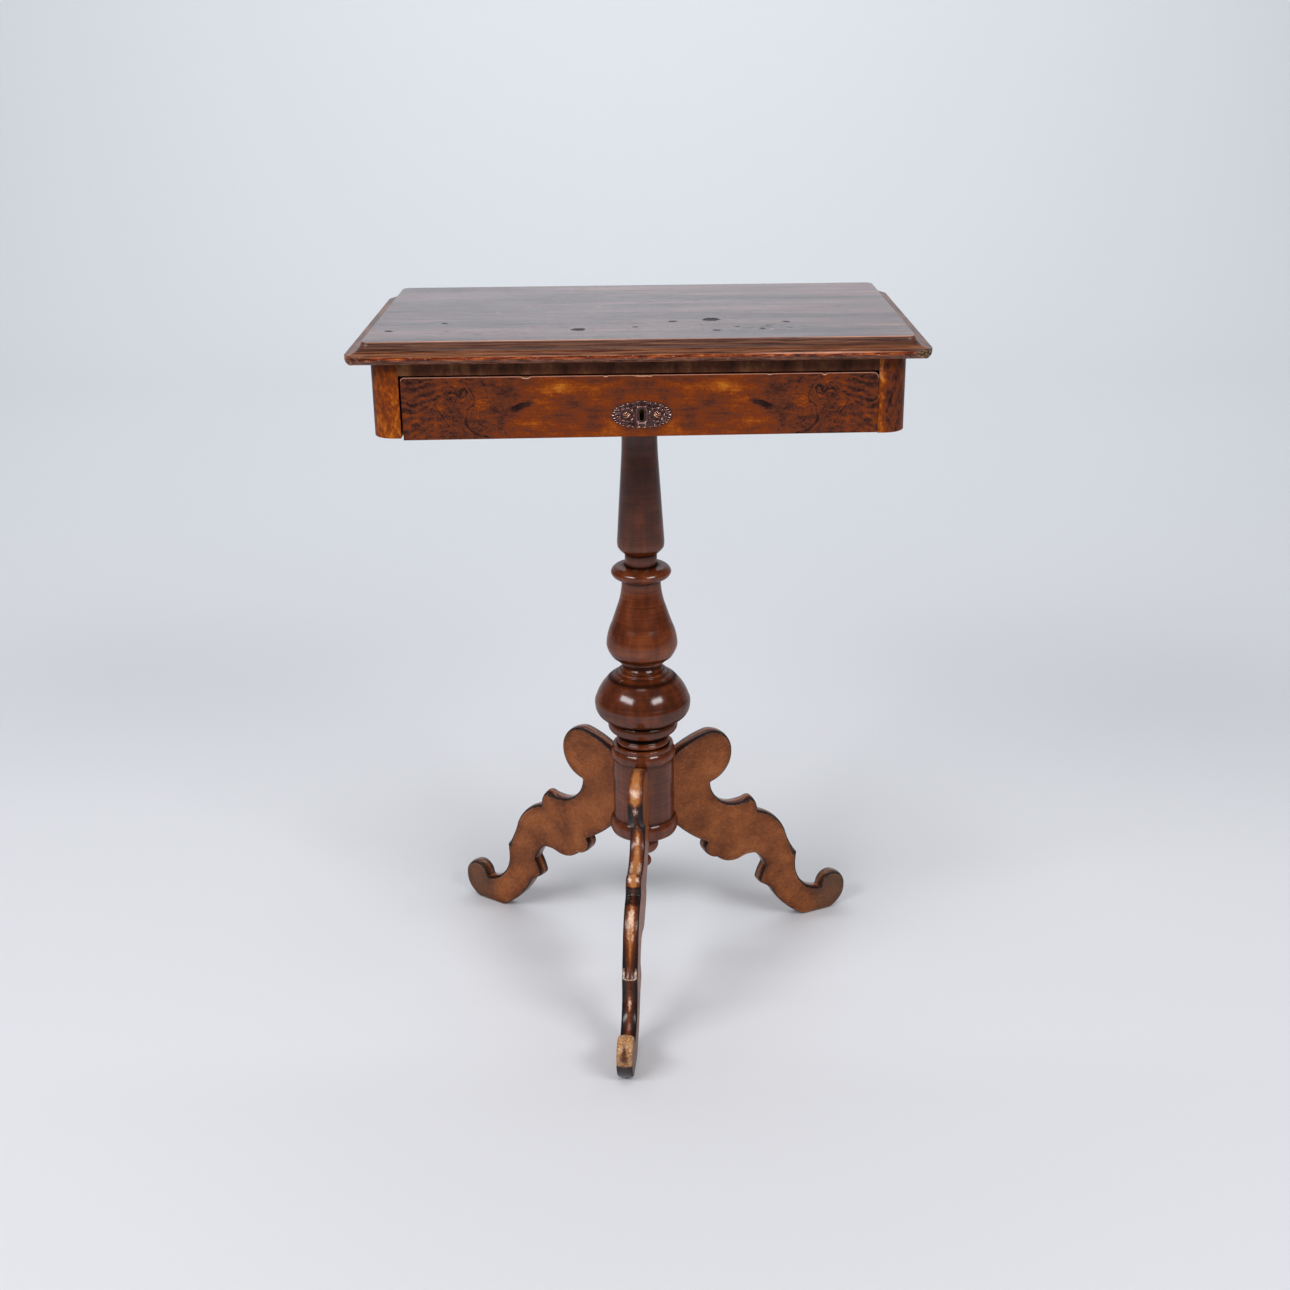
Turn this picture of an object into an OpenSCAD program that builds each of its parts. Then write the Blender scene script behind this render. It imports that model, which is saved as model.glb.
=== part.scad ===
// Small pillar table: a moulded rectangular top over a one-drawer case, a turned column
// and three scroll-cut legs. Millimetres, +Z up, front towards -Y, origin on the floor
// under the column's axis.

/* [Table] */
// Height from the floor to the top surface
total_h = 750; // [720:1:790]
// Length of the top over its moulding
top_l = 550; // [480:1:620]
// Depth of the top over its moulding
top_w = 346; // [310:1:400]
// Thickness of the top
top_t = 20; // [18:0.5:24]
// How far the moulding reaches past the upper arris at the front and back
mould_out = 14.5; // [12:0.5:17]
// How far it reaches past the arris at the two ends
mould_end = 17; // [12:0.5:18]
// Drop from the upper arris to the bottom of the cove
cove_drop = 12; // [9:0.5:12.5]
// Vertical rounding of the top's corners
top_corner_r = 23; // [10:1:26]
// Rounding of the upper arris at the corners
arris_r = 8; // [4:0.5:10]

/* [Case] */
// Distance from the moulding's edge in to the case at the front and back
overhang = 19; // [15:1:28]
// The same distance at the two ends
end_overhang = 21.5; // [15:0.5:28]
// Height of the case under the top
case_h = 73; // [72:1:90]
// Width of a corner post, each way
post_w = 27.5; // [26:0.5:32]
// Rounding of the post's outer corner
post_r = 21; // [12:1:22]
// Thickness of the side rails
rail_t = 18; // [16:1:20]
// Thickness of the back rail
back_rail_t = 16; // [14:1:18]
// Height of the rail above the drawer
front_rail_h = 13; // [12:0.5:15]
// Thickness of the case's bottom board
bottom_t = 8; // [7:0.5:8]
// Thickness of the rails' tenons
tenon_t = 8; // [6:0.5:9]
// Length of the rails' tenons
tenon_l = 12; // [8:0.5:12]

/* [Drawer] */
// Thickness of the drawer front behind its veneer
front_t = 17; // [16:0.5:20]
// Thickness of the veneer
veneer_t = 1; // [0.8:0.1:1.4]
// How far the veneer stands in front of the posts
front_proud = 1.5; // [0.5:0.1:2.5]
// Gap at each end of the drawer front
drawer_gap = 1.3; // [1.2:0.1:2]
// Gap above the drawer front
top_gap = 1.5; // [1:0.1:2]
// How far the old drawer has worn over to the right
drawer_shift = 0.9; // [0:0.1:0.9]
// How far the drawer front hangs below the case at its left end
front_hang = 1.4; // [0:0.1:2]
// How far its lower edge has been planed up at its right end
front_planed = 1; // [-1:0.1:1.5]
// Rounding of the drawer front's upper left corner
front_left_r = 3.5; // [2:0.5:6]
// Rounding of the drawer front's upper right corner
front_right_r = 5.5; // [2:0.5:6]
// Thickness of the drawer sides
side_t = 9; // [8:0.5:11]
// Thickness of the drawer back
drawer_back_t = 8; // [7:0.5:10]
// Thickness of the drawer floor
floor_t = 4; // [3.5:0.5:4]
// Dovetails at the front of each drawer side
front_tails = 2; // [2:1:3]

/* [Keyhole plate and lock] */
// Width of the keyhole plate
plate_w = 57; // [50:1:62]
// Height of the keyhole plate
plate_h = 25; // [23:0.5:27]
// Height of the plate's middle above the case's lower edge
plate_up = 20.8; // [20:0.2:23]
// How far the plate sits to the right of the drawer's middle
plate_shift = 1.6; // [-3:0.1:3]
// Radius of the keyhole's round end
keyhole_r = 2.6; // [2:0.1:3]
// Height of the keyhole
keyhole_h = 11.4; // [10:0.2:12]
// Travel of the lock's bolt
bolt_travel = 6; // [4:0.5:6]

/* [Column] */
// Height of the thin ring's middle
ring_z = 470.7; // [465:0.1:480]
// Height of the vase's widest line
vase_z = 388; // [387:1:394]
// Height of the ball's widest line
ball_z = 317; // [313:1:318]
// Height of the upper bead of the block that holds the legs
hub_z1 = 254; // [250:1:256]
// Height of the block's lower face
hub_z0 = 162; // [158:1:166]
// Radius of the shaft where it meets the bearer
shaft_top_r = 18.6; // [17:0.2:20]
// Radius of the shaft at its lower end
shaft_low_r = 25.4; // [23:0.2:27]
// Radius of the thin ring under the shaft
ring_r = 32.6; // [30:0.2:35]
// Radius of the vase
vase_r = 38.9; // [36:0.2:41]
// Radius of the ball
ball_r = 52.6; // [49:0.2:56]
// Radius of the block that holds the legs
hub_r = 34.2; // [33:0.2:36]
// Radius of the drop under the block
drop_r = 16; // [13:0.5:18]

/* [Legs] */
// Thickness of a leg
leg_t = 16.5; // [14:0.5:20]
// Distance from the column's axis to the outside of the scroll
leg_reach = 267; // [250:1:285]
// Turn of the three legs against the top, in degrees
leg_turn = -5.1; // [-10:0.1:10]

/* [Clearances] */
// Running gap between the drawer and what carries it
slide_gap = 0.3; // [0.2:0.05:0.5]
// Gap around screws, pins and tongues
fit_gap = 0.05; // [0.02:0.01:0.1]

/* [Hidden] */
$fn = 64;
eps = 0.02;

// Heights
top_z = total_h;
case_top = total_h - top_t;
case_z = case_top - case_h;
// Case plan
case_l = top_l - 2 * end_overhang;
case_w = top_w - 2 * overhang;
front_y = -case_w / 2;
back_y = case_w / 2;
open_x = case_l / 2 - post_w;
open_y = case_w / 2 - post_w;
rail_in_x = case_l / 2 - rail_t;
back_in_y = back_y - back_rail_t;
tenon_set = 5;
tenon_z0 = case_z + bottom_t + 1;
tenon_z1 = case_top - 8;
groove_h = 4;
groove_d = 4;
groove_z = case_z + (bottom_t - groove_h) / 2;
// Drawer
rail_z = case_top - front_rail_h;
front_z1 = rail_z - top_gap;
veneer_y = front_y - front_proud;
core_y0 = veneer_y + veneer_t;
core_y1 = core_y0 + front_t;
drawer_x = open_x - drawer_gap;
front_x0 = drawer_shift - drawer_x;
front_x1 = drawer_shift + drawer_x;
side_z0 = case_z + bottom_t + slide_gap;
side_z1 = front_z1 - 3.5;
tail_l = front_t - 5;
drawer_y1 = back_in_y - 3;
floor_z = side_z0 + 2;
back_z0 = floor_z + floor_t;
back_z1 = side_z1 - 4;
floor_in = 4;
key_x = drawer_shift + plate_shift;
key_z = case_z + plate_up;
// Lock
lock_y = core_y1 - 9;
lock_z0 = back_z0 + 0.2;
cap_t = 2.2;
lock_z1 = front_z1 - cap_t;
lock_plate_t = 1.5;
lock_x = 22;
lock_plate_x = 30;
bolt_w = 18;
bolt_t = 4;
bolt_foot = 5;
bolt_z1 = front_z1 - 0.3;
bolt_z0 = lock_z1 - lock_plate_t - bolt_travel - bolt_foot - 0.4;
bolt_y = (lock_y + lock_plate_t + core_y1 - lock_plate_t) / 2;
// Column and bearer
bearer_t = 18;
bearer_l = 260;
bearer_w = 92;
col_top = case_z - bearer_t;
col_tenon_r = 14;
slot_top = hub_z1 - 8;
tongue_in = 20;
// Guides and kickers
guide_h = 22;
kicker_z = side_z1 + 0.5;
kicker_x0 = drawer_x - side_t - 4;

// Rotates a plan vector
function turn(v, t) = [v[0] * cos(t) - v[1] * sin(t), v[0] * sin(t) + v[1] * cos(t)];

// Arc from a towards b, without b itself. s is the rise over half the chord, positive
// when the arc swells to the left of the way it runs.
function arc_to(a, b, s, step) =
    abs(s) < 0.001 ? [a] :
    let (c = norm(b - a))
    let (left = [a[1] - b[1], b[0] - a[0]] / c)
    let (r = c * (1 + s * s) / (4 * s))
    let (o = (a + b) / 2 - left * (r - s * c / 2))
    let (n = max(2, ceil(abs(4 * atan(s)) / step)))
    [for (i = [0:n - 1]) o + turn(a - o, -4 * atan(s) * i / n)];

// Closed outline from [x, y, s] corners, each with the arc that leaves it
function outline(p, step = 12) = [
    for (i = [0:len(p) - 1])
        let (a = p[i])
        let (b = p[(i + 1) % len(p)])
        for (q = arc_to([a[0], a[1]], [b[0], b[1]], a[2], step)) q];

// Rectangle in plan with round corners
module round_plate(l, w, r) {
    square([l - 2 * r, w], center = true);
    square([l, w - 2 * r], center = true);
    for (x = [-1, 1]) for (y = [-1, 1])
        translate([x * (l / 2 - r), y * (w / 2 - r)])
            circle(r);
}

// Box between two corners
module box(a, b) {
    translate(a)
        cube(b - a);
}

// Extrudes a front elevation, drawn in x and z, from y0 back to y1
module slab(y0, y1) {
    translate([0, y1, 0])
        rotate([90, 0, 0])
            linear_extrude(y1 - y0)
                children();
}

// Countersunk wood screw along +Z with its head at z = 0
module screw(l, r, hr) {
    difference() {
        union() {
            cylinder(h = hr - r, r1 = hr, r2 = r);
            cylinder(h = l - 2 * r, r = r);
            translate([0, 0, l - 2 * r])
                cylinder(h = 2 * r, r1 = r, r2 = 0.2);
        }
        translate([-hr, -0.4, -eps])
            cube([2 * hr, 0.8, 0.9]);
    }
}

// Hole that the screw sits in
module screw_hole(l, r, hr) {
    translate([0, 0, -eps])
        cylinder(h = hr - r + eps, r1 = hr + fit_gap, r2 = r + fit_gap);
    cylinder(h = l + 0.3, r = r + fit_gap);
}

// ---- top ----

// Half section of the moulded edge: arris, cove, fine arris, round nose; out is its reach
function edge_section(half, out) = outline([
    [-half + out, top_z, 0],
    [half - out, top_z, -0.4],
    [half - 1.2, top_z - cove_drop + 0.6, 0.25],
    [half - 0.3, top_z - cove_drop - 0.4, 0.12],
    [half, top_z - cove_drop - 2, 0.34],
    [half - 8, case_top, 0],
    [-half + 8, case_top, 0.34],
    [-half, top_z - cove_drop - 2, 0.12],
    [-half + 0.3, top_z - cove_drop - 0.4, 0.25],
    [-half + 1.2, top_z - cove_drop + 0.6, -0.4]], 15);

// Block round the whole top whose corners are coves turned about the arris's rounding
module eased_corners() {
    corner_x = top_l / 2 - mould_end - arris_r;
    corner_y = top_w / 2 - mould_out - arris_r;
    box([-corner_x, -top_w, case_top - 2], [corner_x, top_w, top_z + 1]);
    box([-top_l, -corner_y, case_top - 2], [top_l, corner_y, top_z + 1]);
    for (x = [-1, 1]) for (y = [-1, 1])
        translate([x * corner_x, y * corner_y, 0])
            rotate_extrude()
                polygon(outline([
                    [0, top_z + 1, 0],
                    [arris_r + 0.9, top_z + 1, 0],
                    [arris_r + 0.9, top_z, -0.3],
                    [arris_r + mould_out + 2, top_z - cove_drop + 2.5, 0],
                    [arris_r + mould_end + 30, top_z - cove_drop + 2.5, 0],
                    [arris_r + mould_end + 30, case_top - 2, 0],
                    [0, case_top - 2, 0]], 15));
}

module table_top() {
    color([0.36, 0.27, 0.24])
        difference() {
            intersection() {
                rotate([90, 0, 0])
                    linear_extrude(top_w + 2, center = true)
                        polygon(edge_section(top_l / 2, mould_end));
                rotate([90, 0, 90])
                    linear_extrude(top_l + 2, center = true)
                        polygon(edge_section(top_w / 2, mould_out));
                translate([0, 0, case_top - 1])
                    linear_extrude(top_t + 2)
                        round_plate(top_l, top_w, top_corner_r);
                eased_corners();
            }
            top_screw_places()
                screw_hole(top_screw_l, 2, 4);
        }
}

// ---- case ----

// Post in plan from its inner corner, its outer corner rounded
module post_plan() {
    square([post_w, post_w - post_r]);
    square([post_w - post_r, post_w]);
    translate([post_w - post_r, post_w - post_r])
        intersection() {
            circle(post_r);
            square(post_r);
        }
}

// Corner post; sx and sy are the signs of its corner
module post(sx, sy) {
    color([0.50, 0.27, 0.13])
        difference() {
            scale_sign(sx, sy)
                translate([open_x, open_y, case_z])
                    linear_extrude(case_h)
                        post_plan();
            side_rail(sx, 1);
            if (sy < 0) front_rail(1);
            else back_rail(1);
        }
}

// Mirrors to the corner with these signs
module scale_sign(sx, sy) {
    mirror([sx < 0 ? 1 : 0, 0, 0])
        mirror([0, sy < 0 ? 1 : 0, 0])
            children();
}

// Rail above the drawer; cut = 1 leaves out the bolt's mortise for use as a cutter
module front_rail(cut = 0) {
    color([0.25, 0.13, 0.09])
        difference() {
            union() {
                box([-open_x, front_y, rail_z], [open_x, front_y + post_w, case_top]);
                box([-open_x - tenon_l, front_y + tenon_set, rail_z + 1.5],
                    [open_x + tenon_l, front_y + tenon_set + tenon_t, case_top - 1.5]);
            }
            if (cut == 0)
                box([key_x - bolt_w / 2 - 2, bolt_y - bolt_t / 2 - 1.5, rail_z - 1],
                    [key_x + bolt_w / 2 + 2, bolt_y + bolt_t / 2 + 1.5,
                    bolt_z1 + bolt_travel + 1]);
        }
}

// Side rail on the side with sign sx, grooved for the bottom board
module side_rail(sx, cut = 0) {
    color([0.42, 0.22, 0.12])
        scale_sign(sx, 1)
            difference() {
                union() {
                    box([rail_in_x, -open_y, case_z], [case_l / 2, open_y, case_top]);
                    box([case_l / 2 - tenon_set - tenon_t, -open_y - tenon_l, tenon_z0],
                        [case_l / 2 - tenon_set, open_y + tenon_l, tenon_z1]);
                }
                if (cut == 0)
                    box([rail_in_x - 1, -open_y - 1, groove_z],
                        [rail_in_x + groove_d, open_y + 1, groove_z + groove_h]);
            }
}

module back_rail(cut = 0) {
    color([0.45, 0.30, 0.19])
        difference() {
            union() {
                box([-open_x, back_in_y, case_z], [open_x, back_y, case_top]);
                box([-open_x - tenon_l, back_y - tenon_set - tenon_t, tenon_z0],
                    [open_x + tenon_l, back_y - tenon_set, tenon_z1]);
            }
            if (cut == 0)
                box([-open_x - 1, back_in_y - 1, groove_z],
                    [open_x + 1, back_in_y + groove_d, groove_z + groove_h]);
        }
}

// Bottom board, notched round the posts, its tongues in the rails' grooves
module bottom_board() {
    color([0.55, 0.40, 0.27])
        difference() {
            union() {
                box([-rail_in_x, core_y1 + slide_gap, case_z],
                    [rail_in_x, back_in_y, case_z + bottom_t]);
                box([-rail_in_x - groove_d, -open_y, groove_z],
                    [rail_in_x + groove_d, open_y, groove_z + groove_h]);
                box([-open_x, back_in_y - 1, groove_z],
                    [open_x, back_in_y + groove_d, groove_z + groove_h]);
            }
            for (sx = [-1, 1]) for (sy = [-1, 1])
                scale_sign(sx, sy)
                    box([open_x, open_y, case_z - 1], [open_x + post_w, back_y, case_top]);
            bearer_screw_places()
                screw_hole(bearer_screw_l, 2, 4);
        }
}

// Strip that keeps the drawer from moving sideways
module guide(sx) {
    color([0.50, 0.36, 0.24])
        scale_sign(sx, 1)
            box([open_x, -open_y, case_z + bottom_t],
                [rail_in_x, open_y, case_z + bottom_t + guide_h]);
}

// Strip above the drawer side that keeps the open drawer level
module kicker(sx) {
    color([0.50, 0.36, 0.24])
        difference() {
            scale_sign(sx, 1)
                box([kicker_x0, -open_y, kicker_z], [rail_in_x, open_y, case_top]);
            top_screw_places()
                screw_hole(top_screw_l, 2, 4);
        }
}

top_screw_l = case_top - kicker_z + 12;

module top_screw_places() {
    for (x = [-1, 1]) for (y = [-0.75, 0, 0.75])
        translate([x * (kicker_x0 + rail_in_x) / 2, y * open_y, kicker_z])
            children();
}

module top_screws() {
    color("goldenrod")
        top_screw_places()
            screw(top_screw_l, 2, 4);
}

// Cleat under the case that takes the column's tenon, its ends bevelled
module bearer() {
    color([0.48, 0.32, 0.20])
        difference() {
            slab(-bearer_w / 2, bearer_w / 2)
                polygon([
                    [-bearer_l / 2, case_z],
                    [bearer_l / 2, case_z],
                    [bearer_l / 2, case_z - bearer_t / 2],
                    [bearer_l / 2 - 14, case_z - bearer_t],
                    [-bearer_l / 2 + 14, case_z - bearer_t],
                    [-bearer_l / 2, case_z - bearer_t / 2]]);
            translate([0, 0, col_top - 1])
                cylinder(h = bearer_t + 2, r = col_tenon_r + fit_gap);
            bearer_screw_places()
                screw_hole(bearer_screw_l, 2, 4);
        }
}

bearer_screw_l = bearer_t + bottom_t - 2;

module bearer_screw_places() {
    for (x = [-1, 1]) for (y = [-1, 1])
        translate([x * 85, y * 28, col_top])
            children();
}

module bearer_screws() {
    color("goldenrod")
        bearer_screw_places()
            screw(bearer_screw_l, 2, 4);
}

// ---- column ----

// Half section from the tenon down to the block's lower face, as [radius, height, swell]
function column_section() = [
    [0, case_z - 0.5, 0],
    [col_tenon_r, case_z - 0.5, 0],
    [col_tenon_r, col_top, 0],
    [shaft_top_r, col_top, 0],
    [shaft_top_r + 0.2, col_top - 26, 0],
    [shaft_top_r + 0.7, col_top - 39, 0],
    [shaft_low_r, ring_z + 34.3, 0.05],
    [shaft_low_r - 0.5, ring_z + 28.3, 0.12],
    [17.8, ring_z + 20.8, 0],
    [17.3, ring_z + 19.3, 0],
    [17.3, ring_z + 7.3, 0],
    [ring_r - 6, ring_z + 6.6, 0.27],
    [ring_r, ring_z, 0.27],
    [ring_r - 5.8, ring_z - 6.7, 0],
    [21.2, ring_z - 7.7, 0],
    [21.2, ring_z - 14.7, -0.05],
    [24.8, vase_z + 48, 0],
    [vase_r - 6, vase_z + 24, 0.1],
    [vase_r, vase_z, 0.12],
    [vase_r - 4, vase_z - 10.5, 0.18],
    [28.5, vase_z - 16.4, 0],
    [26, vase_z - 17.2, 0.1],
    [25.5, vase_z - 20, 0],
    [22, vase_z - 20.7, 0],
    [21, vase_z - 25, 0],
    [22.6, ball_z + 43.2, 0],
    [23.5, ball_z + 40.4, 0],
    [27, ball_z + 40, 0],
    [27.5, ball_z + 37.6, 0],
    [30.5, ball_z + 36.4, 0.12],
    [ball_r - 11.6, ball_z + 27.5, 0.1],
    [ball_r - 1.6, ball_z + 10, 0.18],
    [ball_r, ball_z, 0.22],
    [ball_r - 5.6, ball_z - 12, 0.12],
    [37.5, ball_z - 17, 0],
    [36, ball_z - 17.8, 0],
    [37, ball_z - 18.6, 0.16],
    [38.6, ball_z - 25, 0.26],
    [34, ball_z - 31.8, 0],
    [29.5, ball_z - 32.8, -0.25],
    [27.2, hub_z1 + 25.5, -0.25],
    [28.6, hub_z1 + 22.4, 0.4],
    [29, hub_z1 + 17.2, 0],
    [27.9, hub_z1 + 16.2, 0],
    [hub_r - 1.2, hub_z1 + 16, 0.2],
    [hub_r - 0.6, hub_z1 + 14.2, 0],
    [hub_r - 0.6, hub_z1 + 11.6, 0]];

// Half section of the block with its two beads, down to its lower face
function hub_section() = [
    [hub_r - 0.2, hub_z1 + 11, 0.28],
    [hub_r + 0.8, hub_z1, 0],
    [hub_r, hub_z1 - 1.6, 0],
    [hub_r, hub_z0 + 19, 0],
    [hub_r + 1.2, hub_z0 + 18.4, 0.3],
    [hub_r + 2, hub_z0 + 1, 0.3],
    [hub_r + 1, hub_z0, 0],
    [0, hub_z0, 0]];

// Dovetail along +X, as deep as the block is tall below slot_top; g widens it into a slot
module tongue(g = 0) {
    translate([0, 0, hub_z0 - 1])
        linear_extrude(slot_top - hub_z0 + 1 + g)
            polygon([
                [tongue_in - g, -6.5 - g],
                [hub_r, -4.2 - g],
                [hub_r + 8, -4.2 - g],
                [hub_r + 8, 4.2 + g],
                [hub_r, 4.2 + g],
                [tongue_in - g, 6.5 + g]]);
}

// Solid of the block that a leg's shoulders are scribed to
module block() {
    rotate_extrude($fn = 96)
        polygon(outline(concat([[0, hub_z1 + 11, 0]], hub_section())));
}

leg_angles = [-90 + leg_turn, 150 + leg_turn, 30 + leg_turn];

module column() {
    color([0.33, 0.17, 0.12])
        difference() {
            rotate_extrude($fn = 96)
                polygon(outline(concat(column_section(), hub_section())));
            for (a = leg_angles)
                rotate([0, 0, a])
                    tongue(fit_gap);
            translate([0, 0, hub_z0 - 1])
                cylinder(h = 16, r = 6 + fit_gap);
        }
}

// Drop under the block: a bun, a small ball and a nib, with a spigot
module finial() {
    color([0.22, 0.12, 0.09])
        union() {
            rotate_extrude()
                polygon(outline([
                    [0, hub_z0, 0],
                    [8, hub_z0, -0.15],
                    [7.4, hub_z0 - 8, -0.1],
                    [drop_r - 4, hub_z0 - 11, 0.3],
                    [drop_r, hub_z0 - 18, 0.35],
                    [drop_r - 8, hub_z0 - 29, 0],
                    [4.6, hub_z0 - 30, -0.3],
                    [4, hub_z0 - 34, 0],
                    [5.2, hub_z0 - 35.5, 0.2],
                    [7.8, hub_z0 - 41, 0.32],
                    [3, hub_z0 - 48.2, 0],
                    [1.6, hub_z0 - 51, 0.3],
                    [0, hub_z0 - 52, 0]]));
            translate([0, 0, hub_z0 - eps])
                cylinder(h = 14, r = 6);
        }
}

// ---- legs ----

// Stretches a leg outwards from the block
function reach(r) = hub_r + (r - 34.2) * (leg_reach - hub_r) / (267 - 34.2);

// Scroll-cut side view, clockwise from the tongue's upper end, as [out, up, swell]
leg_corners = [
    [36, hub_z1 - 2.2, 0.1],
    [80, 269.8, 0.414],
    [109.4, 240, 0.36],
    [82, 204.5, -0.49],
    [128.5, 173.6, 0.15],
    [135.3, 175.2, 0.25],
    [144, 155.3, 0.236],
    [182, 121.5, -0.11],
    [200, 86.8, -0.466],
    [231.7, 31.8, 0.4],
    [249, 48.4, 0.41],
    [267, 28, 0.36],
    [246.5, 0, 0],
    [209, 0, 0.148],
    [163.5, 46.5, -0.05],
    [151.5, 55.6, 0.3],
    [147.8, 61.3, 0.08],
    [155.6, 79.8, -0.15],
    [141, 99.5, -0.16],
    [122, 98.4, 0.315],
    [90.5, 106.2, 0.37],
    [74, 121.8, 0.15],
    [77, 129, 0.08],
    [42, hub_z0 - 6.5, 0]];

function leg_outline() = outline(concat(
    [[tongue_in, hub_z0, 0], [tongue_in, slot_top, 0], [hub_r, slot_top, 0]],
    [for (c = leg_corners) [reach(c[0]), c[1], c[2]]],
    [[hub_r + 1, hub_z0, 0]]));

// A leg runs into the block and is cut back there to its dovetail
module leg(a) {
    color([0.48, 0.26, 0.14])
        rotate([0, 0, a])
            difference() {
                rotate([90, 0, 0])
                    linear_extrude(leg_t, center = true)
                        polygon(leg_outline());
                difference() {
                    block();
                    tongue();
                }
            }
}

// ---- drawer ----

// Height of the drawer front's lower edge, which isn't quite level
function front_low(x) = case_z - front_hang
    + (front_hang + front_planed) * (x - front_x0) / (front_x1 - front_x0);

// Front elevation of the drawer front between two x, round at the upper outer corners
module front_shape(x0, x1, r0, r1) {
    polygon(outline([
        [x0, front_low(x0), 0],
        [x0, front_z1 - r0, r0 > 0 ? 0.414 : 0],
        [x0 + r0, front_z1, 0],
        [x1 - r1, front_z1, r1 > 0 ? 0.414 : 0],
        [x1, front_z1 - r1, 0],
        [x1, front_low(x1), 0]], 15));
}

// Keyhole: a round end over a slot
module keyhole(grow = 0) {
    translate([key_x, key_z + keyhole_h / 2 - keyhole_r])
        circle(keyhole_r + grow, $fn = 32);
    translate([key_x - keyhole_r * 0.8 - grow, key_z - keyhole_h / 2 - grow])
        square([keyhole_r * 1.6 + 2 * grow, keyhole_h - keyhole_r + grow]);
}

// Tails on a drawer side's end, drawn in y and z with the shoulder at y = 0
module tails(n, l, z0, z1) {
    p = (z1 - z0) / n;
    for (i = [0:n - 1])
        polygon([
            [eps, z0 + (i + 0.5) * p - p * 0.3],
            [-l, z0 + (i + 0.5) * p - p * 0.3 - 1.6],
            [-l, z0 + (i + 0.5) * p + p * 0.3 + 1.6],
            [eps, z0 + (i + 0.5) * p + p * 0.3]]);
}

// Side elevation, drawn in y and z, extruded from x0 to x1
module cheek(x0, x1) {
    translate([x0, 0, 0])
        rotate([90, 0, 90])
            linear_extrude(x1 - x0)
                children();
}

// The two side ends' tails as solids, from outer face to inner face
module front_tail_solids(x0, x1) {
    cheek(x0, x1)
        translate([core_y1, 0])
            tails(front_tails, tail_l, side_z0, side_z1);
}

module back_tail_solids(x0, x1) {
    cheek(x0, x1)
        translate([drawer_y1 - drawer_back_t, 0])
            mirror([1, 0])
                tails(2, drawer_back_t, back_z0, back_z1);
}

module drawer_side(sx) {
    color([0.62, 0.47, 0.32])
        translate([drawer_shift, 0, 0])
            scale_sign(sx, 1)
                difference() {
                    union() {
                        box([drawer_x - side_t, core_y1, side_z0],
                            [drawer_x, drawer_y1 - drawer_back_t, side_z1]);
                        box([drawer_x - side_t, drawer_y1 - drawer_back_t - 1, side_z0],
                            [drawer_x, drawer_y1, back_z0]);
                        front_tail_solids(drawer_x - side_t, drawer_x);
                        back_tail_solids(drawer_x - side_t, drawer_x);
                    }
                    box([drawer_x - side_t - 1, core_y1 - 30, floor_z],
                        [drawer_x - side_t + floor_in, drawer_y1 + 1, floor_z + floor_t]);
                }
}

module drawer_back() {
    color([0.60, 0.45, 0.31])
        translate([drawer_shift, 0, 0])
            difference() {
                box([-drawer_x, drawer_y1 - drawer_back_t, back_z0],
                    [drawer_x, drawer_y1, back_z1]);
                for (sx = [-1, 1])
                    scale_sign(sx, 1)
                        back_tail_solids(drawer_x - side_t, drawer_x + 1);
            }
}

module drawer_floor() {
    color([0.66, 0.52, 0.37])
        translate([drawer_shift, 0, 0])
            box([-drawer_x + side_t - floor_in, core_y1 - floor_in, floor_z],
                [drawer_x - side_t + floor_in, drawer_y1, floor_z + floor_t]);
}

module drawer_front() {
    color([0.42, 0.25, 0.16])
        difference() {
            slab(core_y0, core_y1)
                front_shape(front_x0, front_x1, front_left_r, front_right_r);
            translate([drawer_shift, 0, 0])
                union() {
                    for (sx = [-1, 1])
                        scale_sign(sx, 1)
                            front_tail_solids(drawer_x - side_t, drawer_x + 1);
                    box([-drawer_x + side_t - floor_in, core_y1 - floor_in, floor_z],
                        [drawer_x - side_t + floor_in, core_y1 + 1, floor_z + floor_t]);
                }
            slab(core_y0 - 1, lock_y + 1)
                keyhole();
            lock_solid(0);
            lock_screw_places()
                screw_hole(8, 1.2, 2.4);
            pin_places()
                cylinder(h = 7, r = 0.6 + fit_gap, $fn = 24);
        }
}

// Half of the book-matched veneer between x0 and x1
module veneer(x0, x1, r0, r1) {
    color([0.55, 0.28, 0.14])
        difference() {
            slab(veneer_y, core_y0)
                front_shape(x0, x1, r0, r1);
            slab(veneer_y - 1, core_y0 + 1)
                keyhole();
            pin_places()
                cylinder(h = 7, r = 0.6 + fit_gap, $fn = 24);
        }
}

// ---- keyhole plate ----

// Oval plate outline, flattened a little and scalloped; k shrinks it, w is the scallop
function plate_outline(k, w) = [
    for (t = [0:4:356])
        let (sx = cos(t) < 0 ? -1 : 1)
        let (sz = sin(t) < 0 ? -1 : 1)
        let (wave = 1 + w * cos(15 * t))
        let (peak = k == 1 && abs(t - 90) < 10 ? 1.6 * (1 - abs(t - 90) / 10) : 0)
        [key_x + k * wave * (plate_w / 2) * sx * pow(abs(cos(t)), 0.87),
         key_z + k * wave * (plate_h / 2) * sz * pow(abs(sin(t)), 0.87) + peak]];

// Oval in x and z, tilted by a
function oval(x, z, rx, rz, a) = [
    for (t = [0:10:350]) [x, z] + turn([rx * cos(t), rz * sin(t)], a)];

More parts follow.
